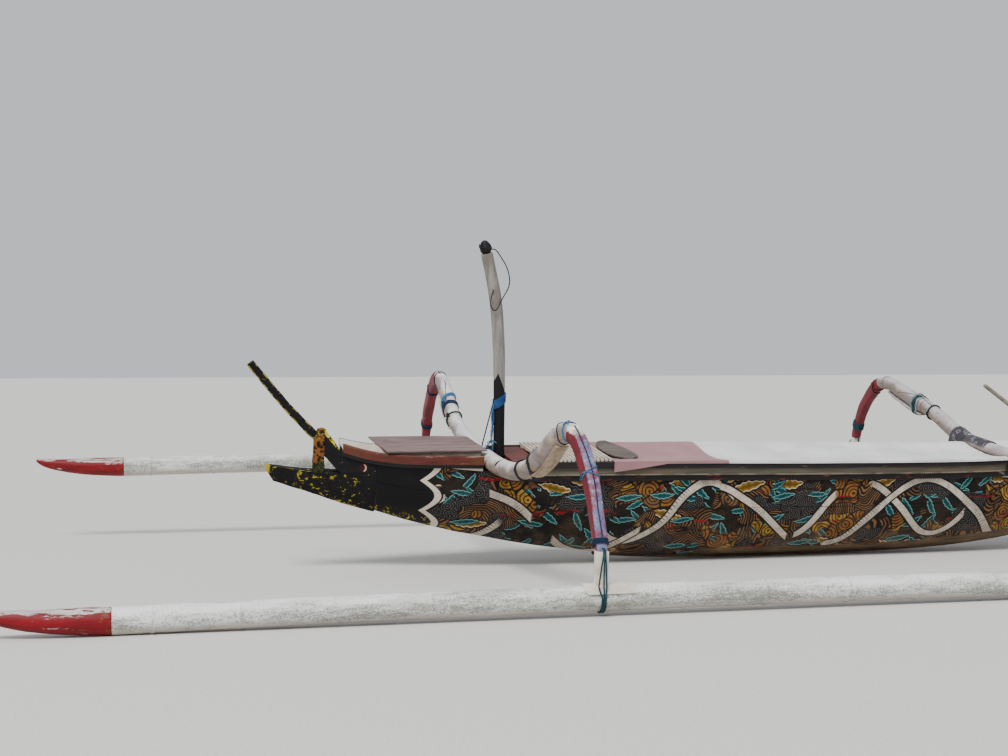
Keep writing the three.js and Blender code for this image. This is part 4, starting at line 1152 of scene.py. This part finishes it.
class CANOE_OT_rails(bpy.types.Operator):
    """The side rails with their three bands"""
    bl_idname = "canoe.rails"
    bl_label = "Rails"

    def execute(self, context):
        finish = rail_paint(context.scene.canoe_paint)
        for side in ("port", "starboard"):
            rail = carve("banded_rail_" + side, "rail_" + side, 0.003, 1, FINE_ADZE, 0.08, (0.4, 1, 1))
            sheer_uv(rail)
            dress(rail, finish, nodes=("rail_" + side,))
        return {"FINISHED"}


class CANOE_OT_foredeck(bpy.types.Operator):
    """Foredeck, its rails and board, the mast thwart, slats and stowed board"""
    bl_idname = "canoe.foredeck"
    bl_label = "Foredeck"

    def execute(self, context):
        paint, adze = context.scene.canoe_paint, context.scene.canoe_carving.adze
        maroon = old_paint("maroon_paint", paint.maroon, (0.30, 0.20, 0.14), 0.40)
        plank = self.plank_paint(paint)
        cream = old_paint("cream_paint", paint.cream, (0.25, 0.18, 0.12), 0.40, (40, 3, 40))
        ply = bare_wood("pink_grey_ply", (0.235, 0.16, 0.155), (0.135, 0.092, 0.088), (5, 60, 60), 0.35)
        grey = bare_wood("grey_board", (0.165, 0.14, 0.12), (0.075, 0.062, 0.052))
        for side in ("port", "starboard"):
            node = "foredeck_rail_" + side
            rail = carve("deck_rail_" + side, node, 0.005, 2, adze * 0.8, 0.08, (0.5, 1, 1))
            sheer_uv(rail)
            dress(rail, plank, nodes=(node,))
        rows = (
            ("deck_planks", "foredeck", cream, 0.003, 1, "cream"),
            ("mast_bench", "mast_thwart", maroon, 0.003, 2, "maroon"),
            ("cross_slats", "deck_slats", cream, 0.002, 1, "cream"),
            ("loose_board", "foredeck_board", ply, 0.002, 2, "ply"),
            ("leaf_board", "stowed_board", grey, 0.003, 2, "wood"),
        )
        for name, node, finish, edge, levels, slot in rows:
            dress(carve(name, node, edge, levels, adze * 0.4, 0.05), finish, nodes=(node,))
        return {"FINISHED"}

    def plank_paint(self, paint):
        """Maroon outboard, rubbed pale along the top, black on the skirt and cream inboard."""
        f = Finish("deck_plank_paint", 0.5, Specular_IOR_Level=0.35)
        p = f.boat()
        y = f.parts(p)[1]
        drop = f.below_rail()
        fibres = f.fibres(p, (2.5, 50, 50), 7, 0.62, 0.3)
        rub = f.fibres(p, (5, 22, 30), 6, 0.7)
        colour = f.mix(f.step(fibres, 0.3, 0.7), toned(paint.maroon, 0.5), paint.maroon)
        stain = f.times(f.step(f.fibres(p, (1.3, 5, 5), 4, 0.55), 0.45, 0.65), 0.6)
        colour = f.mix(stain, colour, (0.12, 0.045, 0.014))
        worn = f.step(f.plus(rub, f.step(drop, 0.0, 0.016, 0.11, 0.0)), 0.63, 0.69)
        colour = f.mix(f.times(worn, 0.7), colour, (0.30, 0.19, 0.15))
        low = f.step(f.plus(drop, f.times(rub, 0.006)), 0.053, 0.056)
        colour = f.mix(low, colour, paint.black)
        inboard = f.step(f.times(f.math("SIGN", y), f.facing()[1]), -0.3, -0.5)
        colour = f.mix(inboard, colour, f.mix(f.step(rub, 0.5, 0.65), paint.white, paint.cream))
        return f.done(colour, f.minus(fibres, worn), 0.0016, 0.7)


class CANOE_OT_mast(bpy.types.Operator):
    """The short curved mast with its knob"""
    bl_idname = "canoe.mast"
    bl_label = "Mast"

    def execute(self, context):
        paint, carving = context.scene.canoe_paint, context.scene.canoe_carving
        mast = carve("curved_mast", "mast", 0.004, 2, carving.knots, 0.11, (1, 1, 0.4))
        dress(mast, self.mast_wood(paint), nodes=("mast",))
        knob = carve("mast_head_knob", "mast_knob", 0.004, 2, 0.005, 0.035)
        knob_black = old_paint("knob_black", paint.black, (0.12, 0.10, 0.09), 0.45)
        dress(knob, knob_black, nodes=("mast_knob",))
        return {"FINISHED"}

    def mast_wood(self, paint):
        """Weathered grey, darker towards the top, with a black foot that ends in a point."""
        f = Finish("weathered_mast", 0.75)
        p = f.boat()
        x, _, z = f.parts(p)
        fibres = f.fibres(p, (40, 40, 2.5), 7, 0.65, 0.5)
        stain = f.fibres(p, (9, 9, 3), 5, 0.65)
        colour = f.mix(f.step(fibres, 0.3, 0.7), toned(paint.grey_wood, 0.55), paint.grey_wood)
        aged = f.plus(stain, f.step(z, 1.10, 1.80, -0.05, 0.12))
        colour = f.mix(f.times(f.step(aged, 0.46, 0.68), 0.75), colour, (0.14, 0.11, 0.085))
        split = f.step(f.fibres(p, (60, 60, 1.5), 3, 0.55), 0.67, 0.71)
        colour = f.mix(f.times(split, 0.75), colour, (0.03, 0.025, 0.02))
        point = f.times(f.size(f.plus(x, 0.07)), 2.4)
        foot = f.fall(f.plus(z, point), 1.155, 1.16)
        chips = f.step(f.noise(p, 60, 4, 0.7), 0.68, 0.72, 1.0, 0.35)
        colour = f.mix(f.times(foot, chips), colour, paint.black)
        return f.done(colour, f.minus(fibres, split), 0.0022, 0.8)


# Cloths

class CANOE_OT_covers(bpy.types.Operator):
    """The rose cloth, the long white sheet, the aft sheet and the dark cloth"""
    bl_idname = "canoe.covers"
    bl_label = "Cloth covers"

    # How much wider and longer than its map a sheet was cut: its folds
    SPARE_WIDTH, SPARE_LENGTH = 1.06, 1.03
    # Half the thickness of the beam under the dark cloth, and how far out that cloth lies on it
    BEAM_RADIUS, CLOTH_END = 0.060, 0.6
    # The folds: how low they may go, of their height, and how far the sheet stands off what it covers
    DEEPEST_FOLD, STAND_OFF = -0.35, 0.001

    def execute(self, context):
        soft = context.scene.canoe_soft
        rose = weave("rose_cloth", soft.rose, toned(soft.rose, 1.25))
        white = weave("white_sheet", soft.sheet, (0.66, 0.66, 0.64), 0.0012, 0.7, 0.25)
        dark = weave("dark_cloth", (0.014, 0.013, 0.017), (0.045, 0.04, 0.05), 0.002, 0.85, 0.3,
                     (0.22, 0.19, 0.25))
        rails = ["rail_port", "rail_starboard"]
        rows = (
            ("rose_cover", "cloth_pink", rose, "pink", rails),
            ("long_cover", "cover_white", white, "tarp", rails),
            ("aft_cover", "cover_aft", white, "tarp", rails),
            ("dark_wrap", "cloth_dark", dark, "dark", ["boom_aft"]),
        )
        for name, node, finish, slot, rests in rows:
            cloth = self.spread(name, node, soft)
            thick = cloth.modifiers.new("cloth", "SOLIDIFY")
            thick.thickness, thick.offset = soft.cloth_thickness, -1
            finish_modifiers(cloth)
            smooth(cloth, 60)
            dress(cloth, finish, nodes=(node,))
        return {"FINISHED"}

    def spread(self, name, node, soft):
        """The upper skin of the solid as one sheet, subdivided, with low folds."""
        cloth = from_solids(name, node)
        round_boom = node == "cloth_dark"
        drop_faces(cloth, self.under_sleeve if round_boom else self.under_cover)
        open_edit(cloth)
        bpy.ops.mesh.subdivide(number_cuts=3, smoothness=0.0)
        close_edit()
        normals = [v.normal.copy() for v in cloth.data.vertices]
        for v, n in zip(cloth.data.vertices, normals):
            p = aboard(v.co)
            fold = noise.noise(Vector((p.x * 9, p.y * 4, 3.1)))
            fold += 0.5 * noise.noise(Vector((p.x * 26, p.y * 14, 1.7)))
            v.co += n * (soft.fold_height * max(fold, self.DEEPEST_FOLD) + self.STAND_OFF)
        layer = cloth.data.uv_layers.new(name="cut")
        lie = self.round_beam if round_boom else self.over_rails
        for loop in cloth.data.loops:
            layer.data[loop.index].uv = lie(aboard(cloth.data.vertices[loop.vertex_index].co))
        return cloth

    def over_rails(self, p):
        """Along the boat, and across it with the flap folded out."""
        return p.x, p.y if p.y > -0.3 else p.y - (rail_top(p.x) - p.z)

    def off_beam(self, p):
        """How far aft and up a place is from the middle of the aft beam."""
        middle = aboard(boom_at("aft_starboard", min(max(p.y, 0.0), self.CLOTH_END))[0])
        return p.x - middle.x, p.z - middle.z

    def round_beam(self, p):
        """Along the beam, and round it with the hanging sides straightened out."""
        across, up = self.off_beam(p)
        if up > 0:
            return p.y, self.BEAM_RADIUS * math.atan2(across, up)
        return p.y, math.copysign(self.BEAM_RADIUS * math.pi / 2 - up, across)

    def under_cover(self, c, n):
        """Whether a face lies under a flat cover or at its ends."""
        return abs(n.x) > 0.8 or not (n.z > 0.35 or (n.y < -0.6 and c.y < -0.2))

    def under_sleeve(self, c, n):
        """Whether a face of the sleeve looks at the beam, at the hull or down."""
        across, up = self.off_beam(c)
        return abs(n.y) > 0.7 or n.z < -0.5 or n.x * across + n.z * up <= 0

    def cut(self, cloth):
        """The sheet's width and length before it was laid, from its own map."""
        uvs = [d.uv for d in cloth.data.uv_layers["cut"].data]
        long = max(u[0] for u in uvs) - min(u[0] for u in uvs)
        wide = max(u[1] for u in uvs) - min(u[1] for u in uvs)
        return wide * self.SPARE_WIDTH, long * self.SPARE_LENGTH


# Booms, floats and lashings

class CANOE_OT_booms(bpy.types.Operator):
    """The cross beams with their arms, legs, knees and foot saddles"""
    bl_idname = "canoe.booms"
    bl_label = "Booms"
    # The slot in the forward beam: its place across and up, its half width and height, and where it fades aft
    SLOT_PLACE, SLOT_HALF, SLOT_SIDE = (-0.436, 0.695), (0.014, 0.024), (-0.120, -0.115)

    def execute(self, context):
        paint, carving = context.scene.canoe_paint, context.scene.canoe_carving
        # The aft booms take a greyer white than the forward ones: painted shade.
        whites = {"forward": self.boom_paint(paint, "boom_white", 0.0, (0.64, 0.63, 0.61)),
                  "aft": self.boom_paint(paint, "boom_grey", 0.05, (0.47, 0.44, 0.45))}
        bare = self.boom_paint(paint, "knee_rubbed_bare", 0.80, (0.55, 0.51, 0.47))
        cream = old_paint("saddle_cream", (0.74, 0.69, 0.56), paint.tan, 0.38, (6, 30, 30))
        leg = self.leg_paint(paint)
        for end, white in whites.items():
            beam = carve("cross_beam_" + end, "boom_" + end, 0.008, 2, carving.knots, 0.12, (1, 0.5, 1), 3.0)
            dress(beam, white, nodes=("boom_" + end,))
            for side in ("port", "starboard"):
                place = f"{end}_{side}"
                knee = bare if place == "forward_port" else white
                rows = (
                    ("crooked_arm_", "arm_", white, 0.008, "white"),
                    ("curved_leg_", "leg_", leg, 0.006, "red"),
                    ("knee_batten_", "knee_", knee, 0.004, "tan"),
                )
                for name, node, finish, edge, slot in rows:
                    piece = carve(name + place, node + place, edge, 2, carving.knots, 0.10, (1, 0.6, 1), 5.0)
                    dress(piece, finish, nodes=(node + place,))
                self.saddle(place, cream)
        return {"FINISHED"}

    def saddle(self, place, finish):
        """The curved shingle under a leg, its fore end cut on the slant, with the peg that stands on it."""
        node = "saddle_" + place
        piece = from_solids("foot_" + node, node)
        fore_end = aboard(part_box(node)[0]).x
        open_edit(piece)
        bpy.ops.mesh.bisect(plane_co=boat(fore_end + 0.006, 0, FLOAT_LOW + FLOAT_RADIUS),
                            plane_no=heading(-0.81, 0, -0.59), use_fill=True, clear_outer=True)
        close_edit()
        smooth(soften(piece, 0.0015, 0), 30)
        dress(piece, finish, nodes=(node,))

    def boom_paint(self, paint, name, bared, upper_white):
        """White on top, pinkish grey and tan below (stain and painted shade); rubbed bare in places; bared
        adds bare wood.
        """
        f = Finish(name, 0.5, Specular_IOR_Level=0.4)
        p = f.boat()
        up = f.facing()[2]
        fibres = f.fibres(p, (26, 5, 26), 6, 0.62, 0.4)
        blotch = f.noise(p, 8.0, 5, 0.65)
        rub = f.noise(f.scaled(p, 1, 0.6, 1), 26.0, 6, 0.72)
        # Painted shade and stain: lower and side faces take pinkish grey and tan, while upward faces stay
        # white.
        stained = f.mix(f.step(blotch, 0.36, 0.64), (0.28, 0.225, 0.23), (0.32, 0.235, 0.155))
        stained = f.mix(f.step(fibres, 0.3, 0.6), (0.18, 0.14, 0.125), stained)
        upper = f.plus(up, f.times(f.minus(blotch, 0.5), 2.4))
        colour = f.mix(f.step(upper, 0.0, 0.95), stained, upper_white)
        under = f.step(up, -0.5, 0.6, 0.03 + bared * 0.35, bared * 0.15 - 0.02)
        bare = f.step(f.plus(f.times(rub, 0.6), f.times(blotch, 0.4), under), 0.575, 0.605)
        wood = f.mix(f.step(fibres, 0.35, 0.65), toned(paint.tan, 0.6), paint.tan)
        colour = f.mix(f.times(bare, 0.85), colour, wood)
        specks = f.step(f.noise(p, 75, 5, 0.7), 0.64, 0.68)
        colour = f.mix(f.times(specks, 0.6), colour, (0.12, 0.10, 0.085))
        split = f.step(f.fibres(p, (34, 2.0, 34), 3, 0.5), 0.69, 0.72)
        colour = f.mix(f.times(split, 0.6), colour, (0.05, 0.04, 0.035))
        slot = self.slot_shadow(f, p)
        colour = f.mix(slot, colour, (0.006, 0.005, 0.005))
        height = f.minus(f.times(fibres, 0.6), f.plus(f.times(bare, 0.5), f.most(split, slot)))
        return f.done(colour, height, 0.002, 0.75, f.step(bare, 0, 1, 0.48, 0.85))

    def slot_shadow(self, f, p):
        """The short slot in the forward beam's fore side, by the port rail."""
        x, y, z = f.parts(p)
        rise = f.minus(z, self.SLOT_PLACE[1])
        out = f.over(f.plus(f.minus(y, self.SLOT_PLACE[0]), f.times(rise, 0.35)), self.SLOT_HALF[0])
        rise = f.over(rise, self.SLOT_HALF[1])
        inside = f.fall(f.plus(f.times(out, out), f.times(rise, rise)), 0.7, 1.0)
        return f.times(inside, f.fall(x, *self.SLOT_SIDE))

    def leg_paint(self, paint):
        """Red, with a pale outboard face, pink and white where it is rubbed, and a bare white head."""
        f = Finish("leg_red_and_pale", 0.5, Specular_IOR_Level=0.35)
        p = f.boat()
        _, y, z = f.parts(p)
        way = f.facing()
        fibres = f.fibres(p, (34, 9, 9), 6, 0.65)
        rub = f.noise(p, 26, 6, 0.7)
        cloud = f.noise(p, 11, 5, 0.6)
        pale = f.mix(f.step(cloud, 0.40, 0.60), paint.lilac, (0.19, 0.05, 0.085))
        pale = f.mix(f.step(rub, 0.50, 0.66, 0.0, 0.75), pale, (0.30, 0.31, 0.42))
        pale = f.mix(f.times(f.step(f.noise(p, 60, 5, 0.7), 0.53, 0.60), 0.8), pale, (0.07, 0.05, 0.11))
        red = f.mix(f.step(fibres, 0.3, 0.7), toned(paint.red, 0.45), paint.red)
        outboard = f.times(f.math("SIGN", y), way[1])
        tilt = f.plus(outboard, f.times(way[0], 0.35))
        colour = f.mix(f.step(tilt, 0.16, 0.24), red, pale)
        head = f.step(f.plus(z, f.times(rub, 0.05)), 1.055, 1.072)
        colour = f.mix(head, colour, f.mix(f.step(cloud, 0.4, 0.6), paint.white, (0.42, 0.36, 0.30)))
        chips = f.step(f.noise(f.scaled(p, 1.3, 1, 0.7), 44, 5, 0.7), 0.635, 0.665)
        colour = f.mix(f.times(chips, 0.65), colour, (0.30, 0.22, 0.19))
        return f.done(colour, f.minus(fibres, chips), 0.0018, 0.7)


class CANOE_OT_floats(bpy.types.Operator):
    """The two bamboo floats and their pointed tips"""
    bl_idname = "canoe.floats"
    bl_label = "Floats"
    # Where the fore and the aft tips join the bamboo
    JOINTS = (-2.25, 3.70)
    # How far the first and the last node are from the bamboo's ends, and how uneven the steps between are
    FIRST_NODE, LAST_NODE, UNEVEN = 0.18, 0.12, 0.22
    # Cuts round a node, half the width of its lip, and its groove: distance, half width and depth
    NODE_CUTS = (-0.018, -0.007, 0.0, 0.007, 0.018)
    LIP_HALF, GROOVE, GROOVE_HALF, GROOVE_DEPTH = 0.009, 0.018, 0.010, 0.0012

    def execute(self, context):
        paint, carving = context.scene.canoe_paint, context.scene.canoe_carving
        white, tip_paint = culm(paint), self.tip_paint(paint)
        for side, seed in (("port", 0.3), ("starboard", 5.1)):
            culms = from_solids("bamboo_float_" + side, "float_" + side)
            low, high = (aboard(p).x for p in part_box("float_" + side))
            # Rings close to each end keep it square when the sides are rounded.
            cut_across(culms, (low + 0.003, low + 0.030, high - 0.030, high - 0.003))
            soften(culms, 0, 1)
            self.ring(culms, self.node_places(low, high, carving.culm_step, seed), carving.culm_ring)
            hew(culms, 0.0015, 0.20, (0.5, 1, 1))
            for v in culms.data.vertices:
                v.co.z = max(v.co.z, 0.0)
            dress(culms, white, nodes=("float_" + side,))
            for end in ("fore", "aft"):
                node = f"float_tip_{end}_{side}"
                tip = carve(f"carved_tip_{end}_{side}", node, 0.003, 1, FINE_ADZE, 0.08)
                dress(tip, tip_paint, nodes=(node,))
        return {"FINISHED"}

    def node_places(self, low, high, step, seed):
        """Where the bamboo's nodes are along the boat, at uneven steps."""
        places = []
        at = low + self.FIRST_NODE
        while at < high - self.LAST_NODE:
            places.append(at)
            at += step * (1 + self.UNEVEN * noise.noise(Vector((len(places) * 1.7, seed, 0))))
        return places

    def ring(self, obj, places, height):
        """Cuts rings round the culm, raises each node's lip and marks how far each point is from one."""
        cut_across(obj, [place + off for place in places for off in self.NODE_CUTS])
        rows = {}
        for v in obj.data.vertices:
            p = aboard(v.co)
            rows.setdefault(round(p.x, 3), []).append(v.index)
        near = {}
        for x, members in rows.items():
            spots = [obj.data.vertices[i].co for i in members]
            middle = sum(spots, Vector()) / len(spots)
            gap = min(abs(x - place) for place in places)
            lip = height * max(0, 1 - gap / self.LIP_HALF)
            lift = lip - self.GROOVE_DEPTH * max(0, 1 - abs(gap - self.GROOVE) / self.GROOVE_HALF)
            for i in members:
                near[i] = gap
                v = obj.data.vertices[i]
                out = v.co - middle
                if out.length > 0.03:
                    v.co += out.normalized() * lift
        layer = obj.data.uv_layers.new(name="rings")
        for loop in obj.data.loops:
            layer.data[loop.index].uv = (near[loop.vertex_index], 0)

    def tip_paint(self, paint):
        """Crimson, rubbed to white along the top, with specks of yellow at the joint."""
        f = Finish("crimson_tip", 0.5)
        p = f.boat()
        x = f.parts(p)[0]
        fibres = f.fibres(p, (4, 50, 50), 6, 0.6)
        rub = f.fibres(p, (5, 26, 26), 7, 0.75)
        colour = f.mix(f.step(fibres, 0.3, 0.7), toned(paint.crimson, 0.6), paint.crimson)
        worn = f.step(f.plus(rub, f.step(f.facing()[2], 0.15, 0.95, -0.03, 0.16)), 0.58, 0.63)
        colour = f.mix(worn, colour, f.mix(f.step(fibres, 0.4, 0.6), (0.42, 0.33, 0.32), paint.chalk))
        fore_joint, aft_joint = (f.size(f.minus(x, place)) for place in self.JOINTS)
        joint = f.math("MINIMUM", fore_joint, aft_joint)
        speck = f.step(f.plus(f.noise(p, 60, 4, 0.7), f.step(joint, 0.0, 0.07, 0.13, 0.0)), 0.64, 0.67)
        colour = f.mix(f.times(speck, 0.85), colour, (0.15, 0.075, 0.02))
        return f.done(colour, f.minus(fibres, worn), 0.0015, 0.7)


class CANOE_OT_lashings(bpy.types.Operator):
    """Rope windings and knots of the booms, the feet and the mast"""
    bl_idname = "canoe.lashings"
    bl_label = "Lashings"
    # Windings of each boom: distance out, turns, thickness, tilt over the fore and the upper side, rope
    WINDINGS = {
        "forward_port": (
            (0.755, 1, 1.4, 0.0, 0.0, "black"), (0.925, 2, 1.2, 0.010, 0.006, "black"),
            (1.300, 1, 0.7, 0.014, 0.0, "navy"), (1.390, 2, 0.8, -0.008, 0.0, "blue"),
            (1.640, 1, 0.8, 0.022, 0.0, "blue"), (1.655, 1, 0.8, -0.022, 0.0, "blue"),
            (1.845, 4, 0.9, 0.0, 0.0, "navy"),
        ),
        "forward_starboard": (
            (0.900, 1, 1.2, 0.0, 0.0, "black"), (1.020, 4, 1.0, 0.012, 0.0, "navy"),
            (1.090, 4, 0.9, -0.012, 0.0, "blue"), (1.370, 1, 0.8, 0.006, 0.0, "navy"),
            (1.620, 2, 0.8, 0.0, 0.0, "navy"), (1.840, 4, 0.9, 0.0, 0.0, "navy"),
        ),
        "aft_starboard": (
            (0.770, 1, 1.3, 0.0, 0.0, "black"), (0.925, 2, 0.85, 0.0, 0.0, "pale"),
            (0.962, 3, 1.15, 0.004, 0.0, "teal"), (1.000, 2, 0.85, 0.0, 0.0, "pale"),
            (1.440, 1, 0.7, 0.0, 0.0, "pale"), (1.560, 1, 0.7, 0.014, 0.0, "black"),
            (1.600, 1, 0.7, -0.012, 0.0, "black"), (1.845, 6, 1.0, 0.0, 0.0, "teal"),
        ),
        "aft_port": (
            (0.770, 1, 1.3, 0.0, 0.0, "black"), (0.950, 3, 1.15, 0.008, 0.0, "teal"),
            (1.000, 2, 0.85, 0.0, 0.0, "pale"), (1.420, 2, 0.8, -0.006, 0.0, "blue"),
            (1.620, 1, 0.8, 0.018, 0.0, "blue"), (1.635, 1, 0.8, -0.018, 0.0, "blue"),
            (1.845, 4, 0.9, 0.0, 0.0, "navy"),
        ),
    }
    # Ropes along each boom: thickness, steps between stops (one pulls it straight), stops, rope
    LINES = {
        "forward_port": (
            (0.8, 6, ((1.34, 100), (1.42, 88), (1.52, 84), (1.64, 92), (1.76, 86), (1.845, 95)), "navy"),
            (0.7, 1, ((0.99, 88), (1.10, 92), (1.34, 96)), "pale"),
        ),
        "forward_starboard": (
            (0.7, 1, ((1.05, 60), (1.20, 85), (1.37, 80)), "black"),
            (0.7, 4, ((1.37, 80), (1.50, 90), (1.62, 88)), "black"),
        ),
        "aft_starboard": (
            (0.6, 1, ((0.77, 70), (0.98, 85)), "black"),
            (0.6, 1, ((0.98, 90), (1.44, 96)), "pale"),
            (0.6, 4, ((0.98, 80), (1.10, 40), (1.20, 8)), "pale"),
        ),
        "aft_port": (
            (0.8, 6, ((1.40, 96), (1.52, 88), (1.70, 92), (1.845, 90)), "navy"),
            (0.6, 1, ((0.98, 88), (1.20, 93), (1.42, 92)), "pale"),
        ),
    }
    # Knots on each boom: distance out, degrees from the fore side to the top, size, rope
    KNOTS = {
        "forward_port": (
            (0.985, 84, 0.017, "blue"), (1.005, 66, 0.013, "pale"), (1.390, 74, 0.012, "blue"),
        ),
        "forward_starboard": ((0.905, 30, 0.012, "black"), (1.060, 40, 0.018, "blue")),
        "aft_starboard": ((0.975, 80, 0.016, "pale"), (0.990, 105, 0.014, "blue")),
        "aft_port": ((0.975, 80, 0.015, "blue"),),
    }
    # Loops from a leg's end round its float: places along the boat at leg, shingle and float
    LOOPS = ((0.000, -0.028, -0.009), (0.002, -0.002, 0.0), (0.008, 0.012, 0.009))
    # Heights over the float's middle where a loop leaves the float's line and meets the shingle's
    LOOP_RISE = (0.02, 0.07)
    # How much of that spread is left on the inboard side, and how far a loop passes round the peg's end
    INBOARD_SHARE, PEG_SIDE, PEG_TOP = 0.2, 0.003, 0.01
    # Ropes that hang from the mast's band, on the boat's axes
    HANGING = (
        ("blue", (-0.092, -0.014, 0.975), (-0.098, -0.026, 0.860), (-0.104, -0.036, 0.752)),
        ("blue", (-0.085, -0.018, 0.975), (-0.104, -0.030, 0.900), (-0.094, -0.030, 0.820),
         (-0.106, -0.040, 0.748)),
        ("azure", (-0.096, -0.018, 0.970), (-0.091, -0.032, 0.880), (-0.104, -0.028, 0.800),
         (-0.100, -0.042, 0.750)),
        ("blue", (-0.104, -0.036, 0.752), (-0.122, -0.040, 0.735), (-0.134, -0.042, 0.715)),
        ("blue", (-0.104, -0.036, 0.752), (-0.095, -0.038, 0.725), (-0.096, -0.040, 0.699)),
        ("navy", (-0.090, -0.012, 0.985), (-0.131, -0.038, 0.845), (-0.172, -0.062, 0.699)),
    )
    MAST_BAND, MAST_KNOT = (-0.051, 0, 0.990), (-0.104, -0.038, 0.752)

    def execute(self, context):
        soft = context.scene.canoe_soft
        colours = {"navy": soft.navy, "blue": soft.blue, "black": soft.black_rope, "teal": soft.teal_rope,
                   "pale": soft.pale_rope, "azure": soft.azure}
        ropes = {name: [] for name in colours}
        thick = soft.rope_radius
        trees = {place: surface_of("cross_beam_" + place.split("_")[0], "crooked_arm_" + place,
                                   "curved_leg_" + place, "knee_batten_" + place) for place in BOOMS}
        for side, rows in self.WINDINGS.items():
            for d, count, width, fore, up, name in rows:
                turns = wind(trees[side], *on_boom(side, d), count, thick * width, (fore, up))
                ropes[name].append(turns)
        for side, rows in self.LINES.items():
            for width, steps, stops, name in rows:
                ropes[name].append(laid(trees[side], side, stops, thick * width, steps))
        for side, rows in self.KNOTS.items():
            for d, angle, size, name in rows:
                middle, run, axes = on_boom(side, d)
                out = around(axes, math.radians(angle))
                far = touch(trees[side], middle, out)
                place = middle + out * (far + size * 0.5)
                ropes[name] += knot(place, (run, run.cross(out)), size, size * 0.3)
        for place in BOOMS:
            ropes["teal"] += self.foot_loops(place, thick)
        self.mast_ropes(ropes, thick)
        for name, made in ropes.items():
            dress(joined(name + "_lashings", made), twine(name + "_rope", colours[name]))
        return {"FINISHED"}

    def foot_loops(self, place, radius):
        """Taut loops round the float, over the shingle's edges and up both faces of the peg to the leg."""
        rows, x, sweep, _, hand = BOOMS[place]
        x += sweep
        leg_end, half = rows[-1][1], rows[-1][2]
        axis = float_axis(x)
        top = leg_end + self.PEG_TOP - axis
        spots = flat_ring(36, lambda a: FLOAT_RADIUS + SHINGLE * (math.sin(a) > math.cos(SHINGLE_ARC)))
        half += self.PEG_SIDE
        far = rim(spots + [Vector((half, top)), Vector((-half, top))])
        leaves, meets = self.LOOP_RISE
        made = []
        for at_leg, at_shingle, at_float in self.LOOPS:
            stops = [(-1, at_float), (leaves, at_float), (meets, at_shingle), (top, at_leg)]
            points = []
            for i in range(73):
                a = math.tau * i / 72
                r = far(a) + radius
                y, z = r * math.cos(a), r * math.sin(a)
                aft = along(stops, z)[0]
                if y * hand < 0:
                    aft *= self.INBOARD_SHARE
                spot = boat(x + aft, hand * FLOAT_OUT + y, axis + z)
                spot.z = max(spot.z, radius)
                points.append(spot)
            made.append(rope("loop", points, radius, 2))
        return made

    def mast_ropes(self, ropes, thick):
        """The band on the mast, the rope that hangs from it to the beam, and the stay beside it."""
        upright, sides = heading(0, 0, 1), (heading(-1, 0, 0), heading(0, -1, 0))
        holders = ("curved_mast", "mast_head_knob", "cross_beam_forward")
        mast, knob, beam = (surface_of(name) for name in holders)
        ropes["azure"].append(wind(mast, boat(*self.MAST_BAND), upright, sides, 8, thick * 0.8, (-0.022, 0)))
        low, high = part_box("mast_knob")
        waist = (Vector(low) + Vector(high)) / 2
        ropes["black"].append(wind(knob, waist, upright, sides, 3, thick * 0.7, (0.006, 0.004)))
        for d, name in ((0.036, "blue"), (0.062, "navy")):
            ropes[name].append(wind(beam, *on_boom("forward_port", d), 2, thick * 0.8))
        for name, *stops in self.HANGING:
            ropes[name].append(rope("hanging", through([boat(*p) for p in stops], 6), thick, 2))
        ropes["blue"] += knot(boat(*self.MAST_KNOT), sides, 0.011, 0.0034)


class CANOE_OT_oar(bpy.types.Operator):
    """The steering oar on its beam and fork"""
    bl_idname = "canoe.oar"
    bl_label = "Steering oar"

    def execute(self, context):
        brown = bare_wood("fork_wood", (0.26, 0.18, 0.11), (0.13, 0.085, 0.05), (6, 30, 30))
        grey = bare_wood("oar_wood", (0.34, 0.32, 0.25), (0.17, 0.15, 0.11), (6, 30, 30))
        rows = (
            ("oar_cross_bar", "oar_beam", "hull", brown, "wood"),
            ("oar_crutch", "oar_fork", "fork", brown, "wood"),
            ("long_oar", "steering_oar", "oar", grey, "oar"),
        )
        for name, node, body, wood, slot in rows:
            dress(carve(name, node, 0.004, 2, FINE_ADZE, 0.06), wood, body, (node,))
        return {"FINISHED"}


class CANOE_PT_panel(bpy.types.Panel):
    """The pieces of the canoe, in the order in which they are made"""
    bl_idname = "CANOE_PT_panel"
    bl_label = "Outrigger canoe"
    bl_space_type = "VIEW_3D"
    bl_region_type = "UI"
    bl_category = "Canoe"

    def draw(self, context):
        for maker in MAKERS:
            self.layout.operator(maker.bl_idname)
        for group in ("canoe_paint", "canoe_soft", "canoe_carving"):
            box = self.layout.box()
            settings = getattr(context.scene, group)
            for key in settings.__annotations__:
                box.prop(settings, key)


MAKERS = (CANOE_OT_stage, CANOE_OT_mast_cord, CANOE_OT_hull, CANOE_OT_head, CANOE_OT_rails, CANOE_OT_foredeck,
          CANOE_OT_mast, CANOE_OT_covers, CANOE_OT_booms, CANOE_OT_floats, CANOE_OT_lashings, CANOE_OT_oar)
GROUPS = {"canoe_paint": CanoePaint, "canoe_soft": CanoeSoft, "canoe_carving": CanoeCarving}


def register():
    for kind in (*GROUPS.values(), *MAKERS, CANOE_PT_panel):
        bpy.utils.register_class(kind)
    for name, kind in GROUPS.items():
        setattr(bpy.types.Scene, name, bpy.props.PointerProperty(type=kind))


def unregister():
    for name in GROUPS:
        delattr(bpy.types.Scene, name)
    for kind in reversed((*GROUPS.values(), *MAKERS, CANOE_PT_panel)):
        bpy.utils.unregister_class(kind)


def main():
    register()
    for maker in MAKERS:
        group, word = maker.bl_idname.split(".")
        getattr(getattr(bpy.ops, group), word)()


if __name__ == "__main__":
    main()
